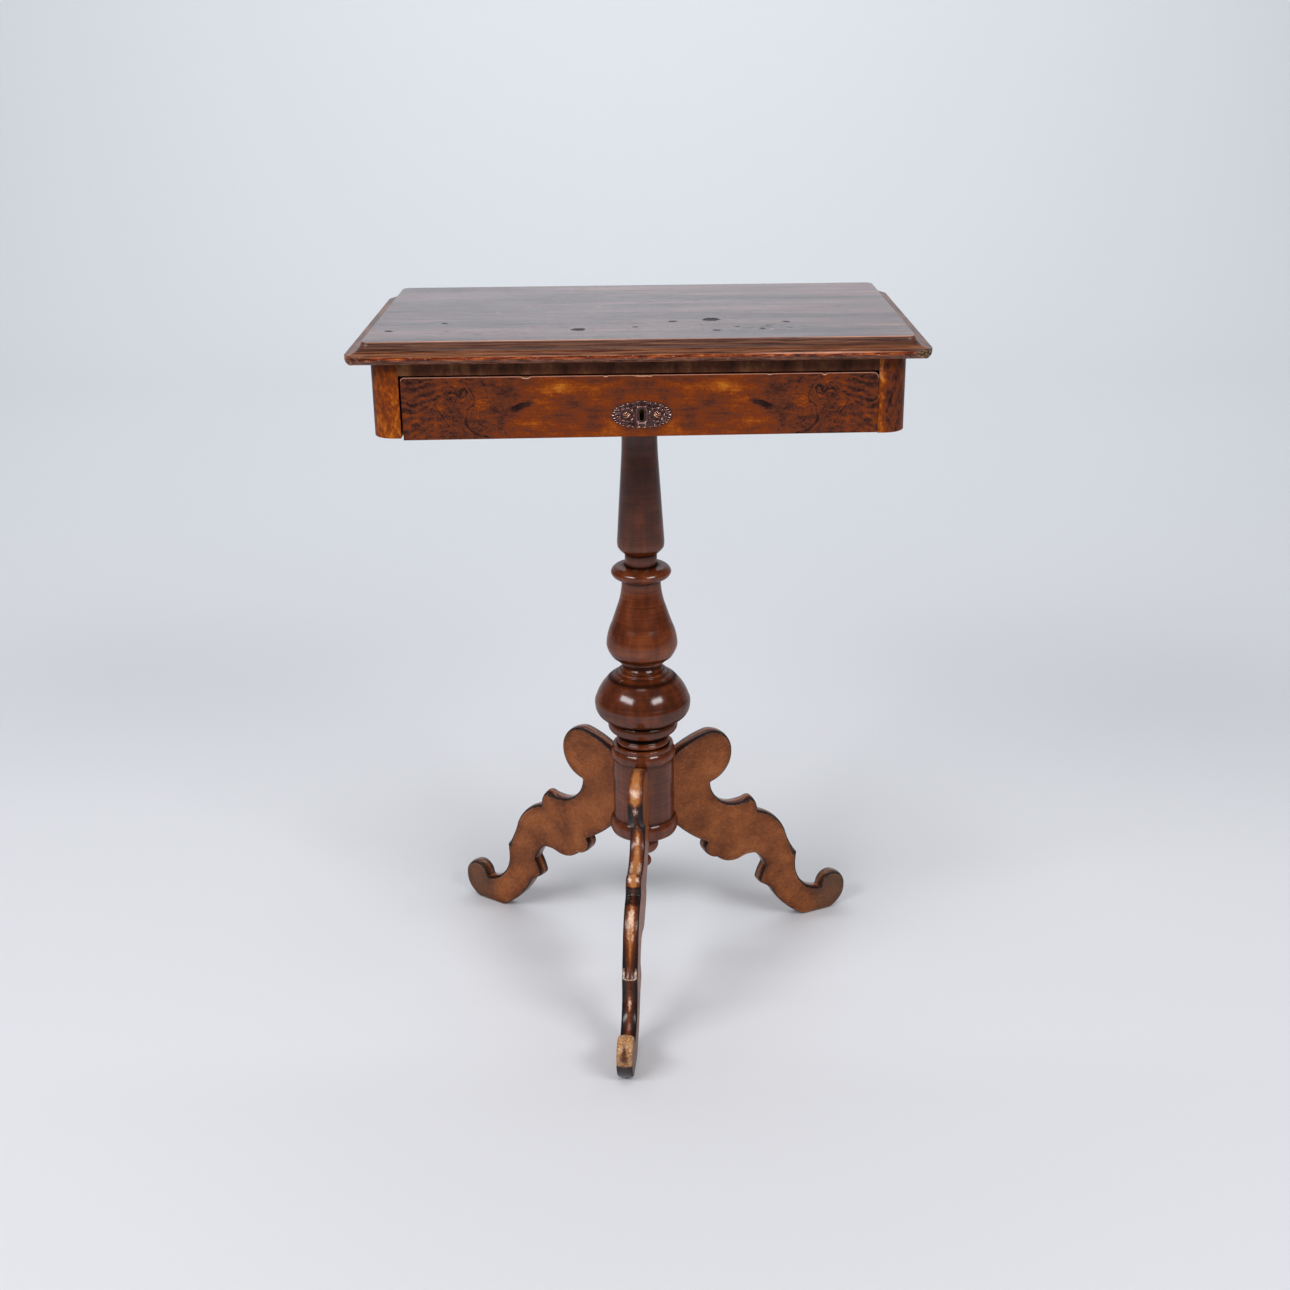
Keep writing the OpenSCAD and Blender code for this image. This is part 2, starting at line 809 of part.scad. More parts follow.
module escutcheon() {
    color([0.38, 0.20, 0.16])
        difference() {
            union() {
                slab(veneer_y - 0.9, veneer_y)
                    polygon(plate_outline(1, 0.018));
                slab(veneer_y - 1.8, veneer_y - 0.8)
                    difference() {
                        polygon(plate_outline(0.98, 0.018));
                        polygon(plate_outline(0.86, 0));
                    }
                for (s = [-1, 1]) {
                    slab(veneer_y - 1.6, veneer_y - 0.8)
                        difference() {
                            polygon(oval(key_x + s * plate_w * 0.25, key_z,
                                plate_w * 0.125, plate_h * 0.27, 0));
                            polygon(oval(key_x + s * plate_w * 0.25, key_z,
                                plate_w * 0.125 - 1, plate_h * 0.27 - 1, 0));
                        }
                    slab(veneer_y - 1.5, veneer_y - 0.8)
                        polygon(oval(key_x + s * plate_w * 0.25, key_z,
                            plate_w * 0.09, plate_h * 0.09, -s * 32));
                }
                slab(veneer_y - 1.9, veneer_y - 0.8)
                    polygon(oval(key_x, key_z, keyhole_r + 2.8, keyhole_h / 2 + 3, 0));
            }
            slab(veneer_y - 4, veneer_y + 1)
                keyhole();
            pin_places()
                cylinder(h = 7, r = 0.6 + fit_gap, $fn = 24);
        }
}

// Pins point back from the plate's face
module pin_places() {
    for (s = [-1, 1])
        translate([key_x + s * (plate_w / 2 - 5.3), veneer_y - 0.9, key_z])
            rotate([-90, 0, 0])
                children();
}

module escutcheon_pins() {
    color([0.45, 0.28, 0.2])
        pin_places()
            union() {
                cylinder(h = 6, r = 0.6, $fn = 24);
                translate([0, 0, -0.6])
                    cylinder(h = 0.6, r1 = 0.6, r2 = 1, $fn = 24);
            }
}

// ---- lock ----

// Outside of the lock; g grows it
module lock_solid(g) {
    box([key_x - lock_x - g, lock_y - g, lock_z0 - g],
        [key_x + lock_x + g, core_y1 + g, lock_z1 + 1]);
    box([key_x - lock_plate_x - g, core_y1 - lock_plate_t, lock_z0 - g],
        [key_x + lock_plate_x + g, core_y1 + g, lock_z1 + 1]);
    box([key_x - lock_plate_x - g, lock_y - 2, lock_z1],
        [key_x + lock_plate_x + g, core_y1 + g, front_z1 + g]);
}

module lock_case() {
    color("goldenrod")
        difference() {
            lock_solid(0);
            box([key_x - lock_x + 1.5, lock_y + lock_plate_t, lock_z0 + 1.5],
                [key_x + lock_x - 1.5, core_y1 - lock_plate_t, lock_z1 - lock_plate_t]);
            box([key_x - bolt_w / 2 - slide_gap, bolt_y - bolt_t / 2 - slide_gap,
                lock_z1 - 5],
                [key_x + bolt_w / 2 + slide_gap, bolt_y + bolt_t / 2 + slide_gap,
                front_z1 + 1]);
            slab(lock_y - 1, lock_y + lock_plate_t + 1)
                keyhole();
            lock_screw_places()
                screw_hole(8, 1.2, 2.4);
        }
}

// Bolt with a wider foot that stops it under the cap
module lock_bolt() {
    color("gainsboro")
        union() {
            box([key_x - bolt_w / 2, bolt_y - bolt_t / 2, bolt_z0],
                [key_x + bolt_w / 2, bolt_y + bolt_t / 2, bolt_z1]);
            box([key_x - bolt_w / 2 - 5, bolt_y - bolt_t / 2, bolt_z0],
                [key_x + bolt_w / 2 + 5, bolt_y + bolt_t / 2, bolt_z0 + bolt_foot]);
        }
}

// Screws point forwards from the lock's back plate
module lock_screw_places() {
    for (x = [-1, 1]) for (z = [lock_z0 + 6, lock_z1 - 8])
        translate([key_x + x * (lock_x + lock_plate_x) / 2, core_y1, z])
            rotate([90, 0, 0])
                children();
}

module lock_screws() {
    color("goldenrod")
        lock_screw_places()
            screw(8, 1.2, 2.4);
}

table_top();
front_rail();
side_rail(-1);  // side_rail_left
side_rail(1);  // side_rail_right
back_rail();
post(-1, -1);  // post_front_left
post(1, -1);  // post_front_right
post(-1, 1);  // post_back_left
post(1, 1);  // post_back_right
bottom_board();
guide(-1);  // guide_left
guide(1);  // guide_right
kicker(-1);  // kicker_left
kicker(1);  // kicker_right
top_screws();
bearer();
bearer_screws();
column();
finial();
leg(leg_angles[0]);  // leg_front
leg(leg_angles[1]);  // leg_left
leg(leg_angles[2]);  // leg_right
drawer_front();
veneer(front_x0, key_x, front_left_r, 0);  // veneer_left
veneer(key_x, front_x1, 0, front_right_r);  // veneer_right
drawer_side(-1);  // drawer_side_left
drawer_side(1);  // drawer_side_right
drawer_back();
drawer_floor();
escutcheon();
escutcheon_pins();
lock_case();
lock_screws();
lock_bolt();
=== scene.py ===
from functools import cached_property, partialmethod
import math

import bmesh
import bpy
import numpy as np
from mathutils import Matrix, Vector
from mathutils.geometry import delaunay_2d_cdt


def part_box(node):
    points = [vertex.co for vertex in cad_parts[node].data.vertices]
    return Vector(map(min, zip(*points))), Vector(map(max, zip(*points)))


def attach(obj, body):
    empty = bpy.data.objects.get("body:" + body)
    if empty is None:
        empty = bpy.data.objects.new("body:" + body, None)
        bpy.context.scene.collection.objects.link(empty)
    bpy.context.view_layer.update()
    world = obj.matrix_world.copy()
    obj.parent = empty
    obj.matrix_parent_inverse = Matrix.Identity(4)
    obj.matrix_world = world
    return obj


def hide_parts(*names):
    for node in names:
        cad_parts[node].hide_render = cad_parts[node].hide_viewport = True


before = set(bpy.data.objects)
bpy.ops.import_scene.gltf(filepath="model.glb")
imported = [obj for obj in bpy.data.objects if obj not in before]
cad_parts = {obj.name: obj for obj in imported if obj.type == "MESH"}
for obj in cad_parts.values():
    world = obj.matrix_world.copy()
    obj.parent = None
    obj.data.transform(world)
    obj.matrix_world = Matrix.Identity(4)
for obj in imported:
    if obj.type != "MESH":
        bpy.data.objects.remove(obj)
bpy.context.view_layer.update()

MM = 0.001

# ---- sizes in millimetres, from the frame's boxes where these give them ----


def span(node):
    """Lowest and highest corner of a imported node, in millimetres."""
    return [np.array(corner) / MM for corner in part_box(node)]


top_low, top_high = span("table_top")
TOP_L, TOP_W = (top_high - top_low)[:2]
TOP_Z = top_high[2]
CASE_TOP = top_low[2]
MOULD_OUT = 14.5        # width of the moulding at the front and back, and at the ends
MOULD_END = 17.0
COVE_DROP = 12.0        # from the field down to the fine arris, and that arris's inset
COVE_FOOT = 1.2
TOP_CORNER = 23.0       # the vertical cut of a corner, and the round of the upper arris there
ARRIS_R = 8.0

post_low, post_high = span("post_front_right")
CASE_X, CASE_Y, CASE_Z = post_high[0], -post_low[1], post_low[2]
POST = post_high[0] - post_low[0]
POST_R = 21.0
SIDE_RAIL = 18.0
BACK_RAIL = 16.0

veneer_l_low, veneer_l_high = span("veneer_left")
veneer_r_low, veneer_r_high = span("veneer_right")
SEAM_X, VENEER_BACK, FRONT_Z1 = veneer_l_high
FRONT_X0, VENEER_Y, FRONT_Z0 = veneer_l_low
FRONT_RISE = (veneer_r_low[2] - FRONT_Z0) / (SEAM_X - FRONT_X0)

KEY_Z = CASE_Z + 20.8
KEY_R = 2.6
KEY_H = 11.4
PLATE_W = 57.0
PLATE_H = 25.0

LEG_T = 16.5
LEG_ANGLES = {"leg_front": -95.1, "leg_left": 144.9, "leg_right": 24.9}
HUB_Z0 = 162.0
HUB_Z1 = 254.0
HUB_R = 34.2
BALL_R = 52.6

QUARTER = math.pi / 2

# ---- camera ----

IMAGE_PX = 1290
FOCAL_PX = 1681.0
SENSOR_MM = 36.0
CAMERA_AWAY = 1.7166
CAMERA_UP = 1.043
CAMERA_DOWN_DEG = 20.97
CAMERA_YAW_DEG = 0.11
CAMERA_ROLL_DEG = -0.68


def make_camera():
    """Camera in front of the table, swung, tipped and rolled by its three angles."""
    data = bpy.data.cameras.new("camera")
    data.lens = FOCAL_PX / IMAGE_PX * SENSOR_MM
    data.sensor_width = SENSOR_MM
    data.clip_end = 50
    camera = bpy.data.objects.new("camera", data)
    place = Matrix.Translation((0, -CAMERA_AWAY, CAMERA_UP))
    for degrees, axis in [(-CAMERA_YAW_DEG, "Z"), (90 - CAMERA_DOWN_DEG, "X"), (CAMERA_ROLL_DEG, "Z")]:
        place @= Matrix.Rotation(math.radians(degrees), 4, axis)
    camera.matrix_world = place
    bpy.context.scene.collection.objects.link(camera)
    bpy.context.scene.camera = camera


# ---- outlines ----


def arc_side(a, b, rise, step):
    """Points from a towards b, without b. rise is the arc's height over half its chord, positive
    when it swells to the left; 0 gives a straight line."""
    chord = np.linalg.norm(b - a)
    if rise == 0:
        n = max(1, int(round(chord / step)))
        return a + (b - a) * np.linspace(0, 1, n, endpoint=False)[:, None]
    left = np.array([a[1] - b[1], b[0] - a[0]]) / chord
    radius = chord * (1 + rise * rise) / (4 * rise)
    centre = (a + b) / 2 - left * (radius - rise * chord / 2)
    sweep = -4 * math.atan(rise)
    n = max(4, int(round(abs(radius * sweep) / step)))
    t = sweep * np.linspace(0, 1, n, endpoint=False)
    c, s = np.cos(t), np.sin(t)
    d = a - centre
    return centre + np.stack([d[0] * c - d[1] * s, d[0] * s + d[1] * c], axis=1)


def bell(reach, step, width):
    """Weights of a running mean: a bell curve of the given width, summing to 1."""
    weight = np.exp(-0.5 * (np.arange(-reach, reach + 1) * step / width) ** 2)
    return weight / weight.sum()


def traced(corners, step=0.8, ease=0.25, closed=True):
    """Line through [x, y, rise] or straight [x, y] corners, resampled every step and softened as by
    sanding, by a running mean with bell weights of width ease."""
    corners = np.array([(*corner, 0)[:3] for corner in corners], float)
    ends = np.roll(corners, -1, axis=0)
    sides = [arc_side(a[:2], b[:2], a[2], step / 4) for a, b in zip(corners, ends)]
    line = np.concatenate(sides + [corners[:1, :2]] if closed else sides[:-1] + [corners[-1:, :2]])
    run = np.concatenate([[0], np.cumsum(np.linalg.norm(np.diff(line, axis=0), axis=1))])
    at = np.linspace(0, run[-1], int(round(run[-1] / step)), endpoint=not closed)
    fine = np.stack([np.interp(at, run, line[:, k]) for k in (0, 1)], axis=1)
    reach = int(math.ceil(3 * ease / step))
    if closed:
        head, tail = fine[-reach:], fine[:reach]
    else:
        head, tail = 2 * fine[0] - fine[reach:0:-1], 2 * fine[-1] - fine[-2:-reach - 2:-1]
    padded = np.concatenate([head, fine, tail])
    weight = bell(reach, step, ease)
    return np.stack([np.convolve(padded[:, k], weight, mode="valid") for k in (0, 1)], axis=1)


def outward(line):
    """Unit normals of a closed clockwise line, pointing out of it."""
    along = np.roll(line, -1, axis=0) - np.roll(line, 1, axis=0)
    along /= np.linalg.norm(along, axis=1)[:, None]
    return np.stack([-along[:, 1], along[:, 0]], axis=1)


# ---- meshes ----


def quads(rows, columns, wrap=False):
    """Vertex numbers of the quads of a grid stored row by row; wrap closes the columns."""
    i, j = np.meshgrid(np.arange(rows - 1), np.arange(columns if wrap else columns - 1), indexing="ij")
    j2 = (j + 1) % columns
    corners = [i * columns + j, i * columns + j2, (i + 1) * columns + j2, (i + 1) * columns + j]
    return np.stack(corners, axis=-1).reshape(-1, 4).tolist()


def new_object(name, data):
    """An object in the scene."""
    thing = bpy.data.objects.new(name, data)
    bpy.context.scene.collection.objects.link(thing)
    return thing


def make_piece(name, points, faces, body, node, material, sharp_deg, values=None):
    """Mesh object from points in millimetres; values are numbers per point that materials read."""
    mesh = bpy.data.meshes.new(name)
    mesh.from_pydata((np.reshape(points, (-1, 3)) * MM).tolist(), [], faces)
    for key, numbers in (values or {}).items():
        layer = mesh.attributes.new(key, "FLOAT", "POINT")
        layer.data.foreach_set("value", np.ravel(numbers).astype(np.float32))
    shape = bmesh.new()
    shape.from_mesh(mesh)
    bmesh.ops.remove_doubles(shape, verts=shape.verts, dist=2e-6)
    bmesh.ops.recalc_face_normals(shape, faces=shape.faces)
    shape.to_mesh(mesh)
    shape.free()
    mesh.shade_smooth()
    mesh.set_sharp_from_angle(angle=math.radians(sharp_deg))
    mesh.materials.append(material)
    piece = new_object(name, mesh)
    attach(piece, body)
    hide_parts(node)
    return piece


def read(data, key, kind=np.int32):
    """One number of each item of a mesh's data."""
    numbers = np.zeros(len(data), kind)
    data.foreach_get(key, numbers)
    return numbers


def face_mean(piece, key):
    """Mean of a piece's number at the corners of each face."""
    mesh = piece.data
    value = read(mesh.attributes[key].data, "value", np.float32)[read(mesh.loops, "vertex_index")]
    return np.add.reduceat(value, read(mesh.polygons, "loop_start")) / read(mesh.polygons, "loop_total")


def second_material(piece, material, chosen):
    """Gives the chosen faces a second material."""
    piece.data.materials.append(material)
    piece.data.polygons.foreach_set("material_index", chosen.astype(np.int32))


# Which of an outline's two columns and its height give x, y and z.
PLAN, FRONT, SIDE = [0, 1, 2], [0, 2, 1], [2, 0, 1]


def prism(outline, low, high, ease, axes, rows=1):
    """A closed clockwise outline carried from low to high in rows steps, its two rims rounded to a
    quarter circle of radius ease."""
    turn = np.linspace(0, QUARTER, 4)
    inwards, upwards = ease * (1 - np.sin(turn)), ease * (1 - np.cos(turn))
    between = np.linspace(low + ease, high - ease, rows + 1)[1:-1]
    inset = np.concatenate([inwards, 0 * between, inwards[::-1]])[:, None, None]
    height = np.concatenate([low + upwards, between, high - upwards[::-1]])[:, None, None]
    rings = outline - inset * outward(outline)
    points = np.concatenate([rings, height + 0 * rings[..., :1]], axis=2).reshape(-1, 3)
    n = len(outline)
    ends = [list(range(n)), list(range(len(points)))[:-n - 1:-1]]
    return points[:, axes], quads(len(height), n, wrap=True) + ends


# ---- figure of the wood ----

LATTICE = 64


def ripple(x, y, size, seed, octaves=4):
    """Smooth noise from -1 to 1: random numbers on a lattice of this size, eased between its points;
    each further octave is half as large and half as strong."""
    table = np.random.default_rng(seed).random((LATTICE, LATTICE))
    total, weight = 0, 0
    for k in range(octaves):
        u, v = x / size[0] * 2 ** k + 11.3 * k, y / size[1] * 2 ** k + 5.7 * k
        i, j = np.floor(u).astype(int), np.floor(v).astype(int)
        a, b = u - i, v - j
        a, b = a * a * (3 - 2 * a), b * b * (3 - 2 * b)
        i2, j2, i, j = (i + 1) % LATTICE, (j + 1) % LATTICE, i % LATTICE, j % LATTICE
        low = table[i, j] * (1 - a) + table[i2, j] * a
        high = table[i, j2] * (1 - a) + table[i2, j2] * a
        total, weight = total + (low * (1 - b) + high * b) * 0.5 ** k, weight + 0.5 ** k
    return 2 * total / weight - 1


def drawn(points, n=8):
    """Smooth line through points: between each pair a cubic whose slopes follow the points beside."""
    p = np.reshape(points, (-1, 2)).astype(float)
    p = np.concatenate([[2 * p[0] - p[1]], p, [2 * p[-1] - p[-2]]])
    t = np.linspace(0, 1, n, endpoint=False)[:, None]
    a, b, c, d = p[:-3, None], p[1:-2, None], p[2:-1, None], p[3:, None]
    bend, twist = 2 * a - 5 * b + 4 * c - d, 3 * b - a - 3 * c + d
    line = b + (c - a) * t / 2 + bend * t ** 2 / 2 + twist * t ** 3 / 2
    return np.concatenate([line.reshape(-1, 2), p[-2:-1]])


def away_from(x, y, line):
    """Distance from each place to an open line."""
    best = np.full(x.shape, 1e9)
    for a, b in zip(line[:-1], line[1:]):
        d = b - a
        t = unit(((x - a[0]) * d[0] + (y - a[1]) * d[1]) / (d @ d))
        best = np.minimum(best, (x - a[0] - t * d[0]) ** 2 + (y - a[1] - t * d[1]) ** 2)
    return np.sqrt(best)


def unit(value):
    """The value kept between 0 and 1."""
    return np.clip(value, 0, 1)


def hump(gap, width):
    """Bell curve: 1 where gap is 0, and 1/e at width."""
    return np.exp(-(gap / width) ** 2)


def ramp(value, start, end):
    """0 up to start, 1 from end, straight between them."""
    return unit((value - start) / (end - start))


def patch(u, z, u0, z0, ru, rz, lean=0.0):
    """Soft patch, 1 in its middle; lean tilts its long side."""
    return hump(u - u0, ru) * hump(z - z0 - lean * (u - u0), rz)


# The figure of one half of the drawer front, in millimetres from the seam and above the floor: lines as
# width, strength and the places they pass, and patches as place, two sizes, lean and strength.
FLAMES = [
    (1.5, 0.75, 226, 704, 213, 704, 203, 707, 191, 709, 181, 711, 168, 712, 158, 713),
    (1.3, 0.9, 226, 697, 216, 695, 207, 698, 198, 701, 188, 704, 181, 707, 171, 709, 163, 707,
     157, 702),
    (1.4, 0.9, 226, 692, 214, 689, 207, 692, 200, 694, 193, 697, 186, 700, 180, 701),
    (1.7, 0.9, 226, 685, 219, 684, 211, 683, 204, 687, 198, 691, 194, 693),
    (1.5, 0.85, 226, 674, 214, 677, 207, 679, 201, 684, 195, 687, 193, 690),
    (1.9, 1.0, 226, 663, 219, 665, 212, 670, 206, 674, 200, 679, 194, 684),
    (1.2, 0.7, 218, 656, 213, 660, 207, 665, 203, 671, 199, 676),
    (1.4, 0.7, 226, 712, 216, 711, 206, 713, 196, 715)]
KNOT_LINES = [
    (1.0, 1.0, 182, 698, 179, 701, 175, 700, 172, 697, 170, 701, 168, 704, 165, 702, 165, 698, 168, 696,
     172, 696),
    (0.5, 0.7, 181, 696, 178, 694, 174, 695, 176, 698),
    (0.6, 0.8, 193, 694, 194, 688, 190, 680, 185, 673, 182, 668),
    (0.5, 0.6, 191, 694, 187, 697, 182, 695, 178, 697),
    (0.4, 0.5, 191, 688, 187, 690, 183, 688),
    (0.6, 0.5, 188, 683, 183, 679, 178, 678, 172, 680),
    (0.4, 0.4, 183, 687, 179, 684, 175, 686, 171, 684),
    (0.9, 1.0, 162, 704, 158, 697, 158, 690, 163, 685, 166, 678, 166, 671, 162, 665, 156, 661,
     146, 658),
    (0.4, 0.5, 160, 690, 156, 684, 157, 676, 160, 669),
    (0.7, 0.6, 151, 714, 148, 706, 146, 699, 143, 691, 142, 685, 144, 677, 142, 671, 136, 668, 130, 663,
     126, 657),
    (1.8, 0.35, 141, 696, 138, 690, 139, 683, 141, 676),
    (0.4, 0.45, 153, 682, 150, 684, 148, 680, 150, 676, 153, 678, 153, 682),
    (0.4, 0.45, 154, 672, 151, 668, 147, 667, 145, 670),
    (0.5, 0.5, 200, 668, 197, 675, 198, 684, 196, 690),
    (0.5, 0.4, 190, 668, 186, 664, 180, 662, 174, 664)]
KNOT_RINGS = [(172, 697, 0.75, 13), (150, 678, 0.6, 16), (186, 676, 0.7, 12)]
GLOW = [
    (77, 704, 15, 4.5, 0.05, 0.34), (88, 700, 6, 3, 0.3, 0.2), (58, 708, 26, 4, 0, 0.14),
    (30, 665, 9, 6, -0.5, 0.24), (38, 659, 40, 3, 0, 0.12), (107, 671, 20, 5, 0, 0.16),
    (176, 708, 16, 2.5, -0.05, 0.2), (152, 690, 6, 16, 0, 0.1), (176, 688, 9, 8, 0, 0.08),
    (196, 676, 3, 9, 0, 0.14), (175, 664, 12, 4, 0, 0.1), (45, 697, 10, 8, 0, 0.08),
    (98, 692, 14, 3, -0.3, 0.12), (62, 686, 14, 5, 0.25, -0.17), (129, 704, 12, 6, 0, -0.2),
    (131, 684, 8, 9, 0, -0.16), (70, 678, 14, 7, 0, -0.12), (6, 706, 10, 9, 0, -0.14),
    (40, 711, 20, 2.5, 0, -0.12), (214, 692, 16, 20, 0, -0.06), (48, 672, 5, 10, -0.5, -0.1)]
BLACK_MARK = (113, 687, 12, 4.6, -0.3)


def burr_figure(u, z):
    """Tone of the burr veneer, 0 black-brown to 1 gold: mottle and streaks, soft patches, hair lines
    where a noise passes zero, flames that sweep in to two knots, growth lines and rings round these,
    and one black mark. All of it is pushed about by noise of a few millimetres."""
    wu = u + 2.6 * ripple(u, z, (7, 5), 3, 3)
    wz = z + 1.9 * ripple(u, z, (8, 5), 4, 3)
    far = ramp(u, 100, 150)
    tone = 0.48 - 0.13 * far + (0.15 + 0.07 * far) * ripple(wu, wz, (11, 6), 5, 4)
    tone = tone + 0.11 * ripple(wu, wz, (4, 2.2), 8, 3) * (0.6 + far)
    tone = tone + 0.13 * ripple(u + 0.4 * z, z, (9, 1.1), 6, 3) * (1 - 0.7 * far)
    tone = tone + 0.12 * ripple(wu + 1.2 * wz, wz - 0.5 * wu, (5, 1.3), 9, 3) * far
    tone = tone + 0.1 * ripple(u, z, (1.7, 1.4), 13, 2)
    for *place, lift in GLOW:
        tone += lift * patch(wu, wz, *place)
    tone = tone - 0.15 * hump(ripple(wu, wz, (6, 4), 12, 2), 0.055) * np.clip((u - 50) / 90, 0.15, 1)
    for width, strength, *points in FLAMES:
        d = away_from(wu, wz, drawn(points))
        tone += strength * (0.09 * hump(d - 2.2 * width, 0.8 * width) - 0.12 * hump(d, width))
    for width, strength, *points in KNOT_LINES:
        d = away_from(0.6 * wu + 0.4 * u, 0.6 * wz + 0.4 * z, drawn(points))
        tone += strength * (0.06 * hump(d - 2.2 * width, width) - 0.23 * hump(d, width + 0.1))
    for u0, z0, wide, reach in KNOT_RINGS:
        d = np.hypot((wu - u0) / wide, wz - z0) / 2
        tone -= 0.1 * np.cos(2 * math.pi * d / 1.25) * hump(d - 4, reach / 2.4)
    mark = patch(u + 0.9 * (wu - u), z + 0.8 * (wz - z), *BLACK_MARK)
    tone -= 0.42 * unit((mark - 0.3) * 2.6)
    return unit(tone)


def post_figure(run, z, seed):
    """Tone of a post's veneer: bent flames that climb the post, over mottle and burr specks."""
    wr = run + 4 * ripple(run, z, (14, 18), seed, 3)
    wz = z + 6 * ripple(run, z, (16, 20), seed + 1, 3)
    flames = ripple(wr - 0.35 * wz, wz, (3.2, 30), seed + 2, 4)
    mottle = ripple(wr, wz, (7, 9), seed + 3, 4)
    specks = ripple(wr, wz, (2.2, 3.0), seed + 4, 3)
    return 0.51 + 0.15 * flames + 0.24 * mottle + 0.3 * specks


# ---- shader nodes ----


def linear(code):
    """Scene-linear colour from an sRGB hex code."""
    channels = [int(code[i:i + 2], 16) / 255 for i in (1, 3, 5)]
    return [c / 12.92 if c <= 0.04045 else ((c + 0.055) / 1.055) ** 2.4 for c in channels] + [1.0]


class Nodes:
    """The nodes of one material, or of the world."""

    def __init__(self, owner):
        owner.use_nodes = True
        self.owner, self.tree = owner, owner.node_tree

    def add(self, kind, *inputs, **settings):
        """Adds a node of a kind and, after a space, its operation or data type. Inputs fill its enabled
        sockets in order, or those that a dictionary names. They are numbers, hex codes, names of the
        piece's own numbers, sockets, or nodes, by their first enabled output."""
        kind, _, mode = kind.partition(" ")
        node = self.tree.nodes.new("ShaderNode" + kind)
        if mode:
            setattr(node, "data_type" if kind == "Mix" else "operation", mode)
        for key, value in settings.items():
            setattr(node, key, value)
        if inputs and isinstance(inputs[0], dict):
            pairs = [(node.inputs[key], value) for key, value in inputs[0].items()]
        else:
            pairs = zip([socket for socket in node.inputs if socket.enabled], inputs)
        for socket, value in pairs:
            if isinstance(value, str) and value[0] == "#":
                value = linear(value)
            elif isinstance(value, str):
                value = self.add("Attribute", attribute_name=value).outputs["Fac"]
            elif isinstance(value, bpy.types.Node):
                value = next(output for output in value.outputs if output.enabled)
            if isinstance(value, bpy.types.NodeSocket):
                self.tree.links.new(value, socket)
            else:
                socket.default_value = value
        return node

    mix = partialmethod(add, "Mix RGBA")
    map = partialmethod(add, "MapRange")
    times = partialmethod(add, "Math MULTIPLY")
    times_plus = partialmethod(add, "Math MULTIPLY_ADD")
    larger = partialmethod(add, "Math MAXIMUM")

    @cached_property
    def place(self):
        """The object's own coordinates."""
        return self.add("TexCoord").outputs["Object"]

    def ramp(self, value, stops):
        """A colour ramp; stops are its places and hex codes."""
        node = self.add("ValToRGB", value)
        elements = node.color_ramp.elements
        for k, (place, code) in enumerate(stops.items()):
            element = elements[k] if k < len(elements) else elements.new(1.0)
            element.position = place
            element.color = linear(code)
        return node

    def noise(self, size_mm, detail=4.0, rough=0.55):
        """Noise whose features measure size_mm (x, y, z)."""
        local = self.add("Mapping", {"Vector": self.place, "Scale": [1 / (s * MM) for s in size_mm]})
        return self.add("TexNoise", local, 1.0, detail, rough)

    def finished(self, colour, rough, shine=0.5, coat=0.0, coat_rough=0.03, relief=None, **others):
        """The material with its shader and output; relief is a bump's height, strength and distance."""
        sockets = {"Base Color": colour, "Roughness": rough, "Specular IOR Level": shine,
                   "Coat Weight": coat, "Coat Roughness": coat_rough, **others}
        if relief:
            sockets["Normal"] = self.add("Bump", dict(zip(("Height", "Strength", "Distance"), relief)))
        self.add("OutputMaterial", {"Surface": self.add("BsdfPrincipled", sockets)})
        return self.owner


def new_material(name):
    """The nodes of a new material, none yet."""
    nodes = Nodes(bpy.data.materials.new(name))
    nodes.tree.nodes.clear()
    return nodes


def plain_finish(name, size_mm, detail, stops, *sockets, **others):
    """A material whose colour is a ramp over one noise."""
    m = new_material(name)
    return m.finished(m.ramp(m.noise(size_mm, detail), stops), *sockets, **others)


# Marks on the top's field, as x, y and radius, and patches of flecks as kind, x, y, two radii, and the
# size of a fleck. The marks' outlines sway by SWAY.
DRIPS = [(-57, -106, 7.5), (34, -69, 4.5), (72, -61, 9), (75, -118, 4), (-190, -65, 3.5), (-239, -104, 4),
         (-2, -97, 3), (144, -77, 4), (96, -100, 3), (118, -112, 4)]
PALE_DOTS = [(-111, 24, 3.5), (-40, 19, 3), (-141, -9, 3), (128, -116, 3)]
FLECKS = [("dark", 134, -104, 42, 20, (11, 5, 5)), ("dark", -150, -118, 70, 16, (16, 3, 3)),
          ("pale", -42, 30, 44, 14, (9, 3.2, 3.2)), ("pale", -122, 12, 34, 18, (7, 3, 3))]
SWAY = 9.0


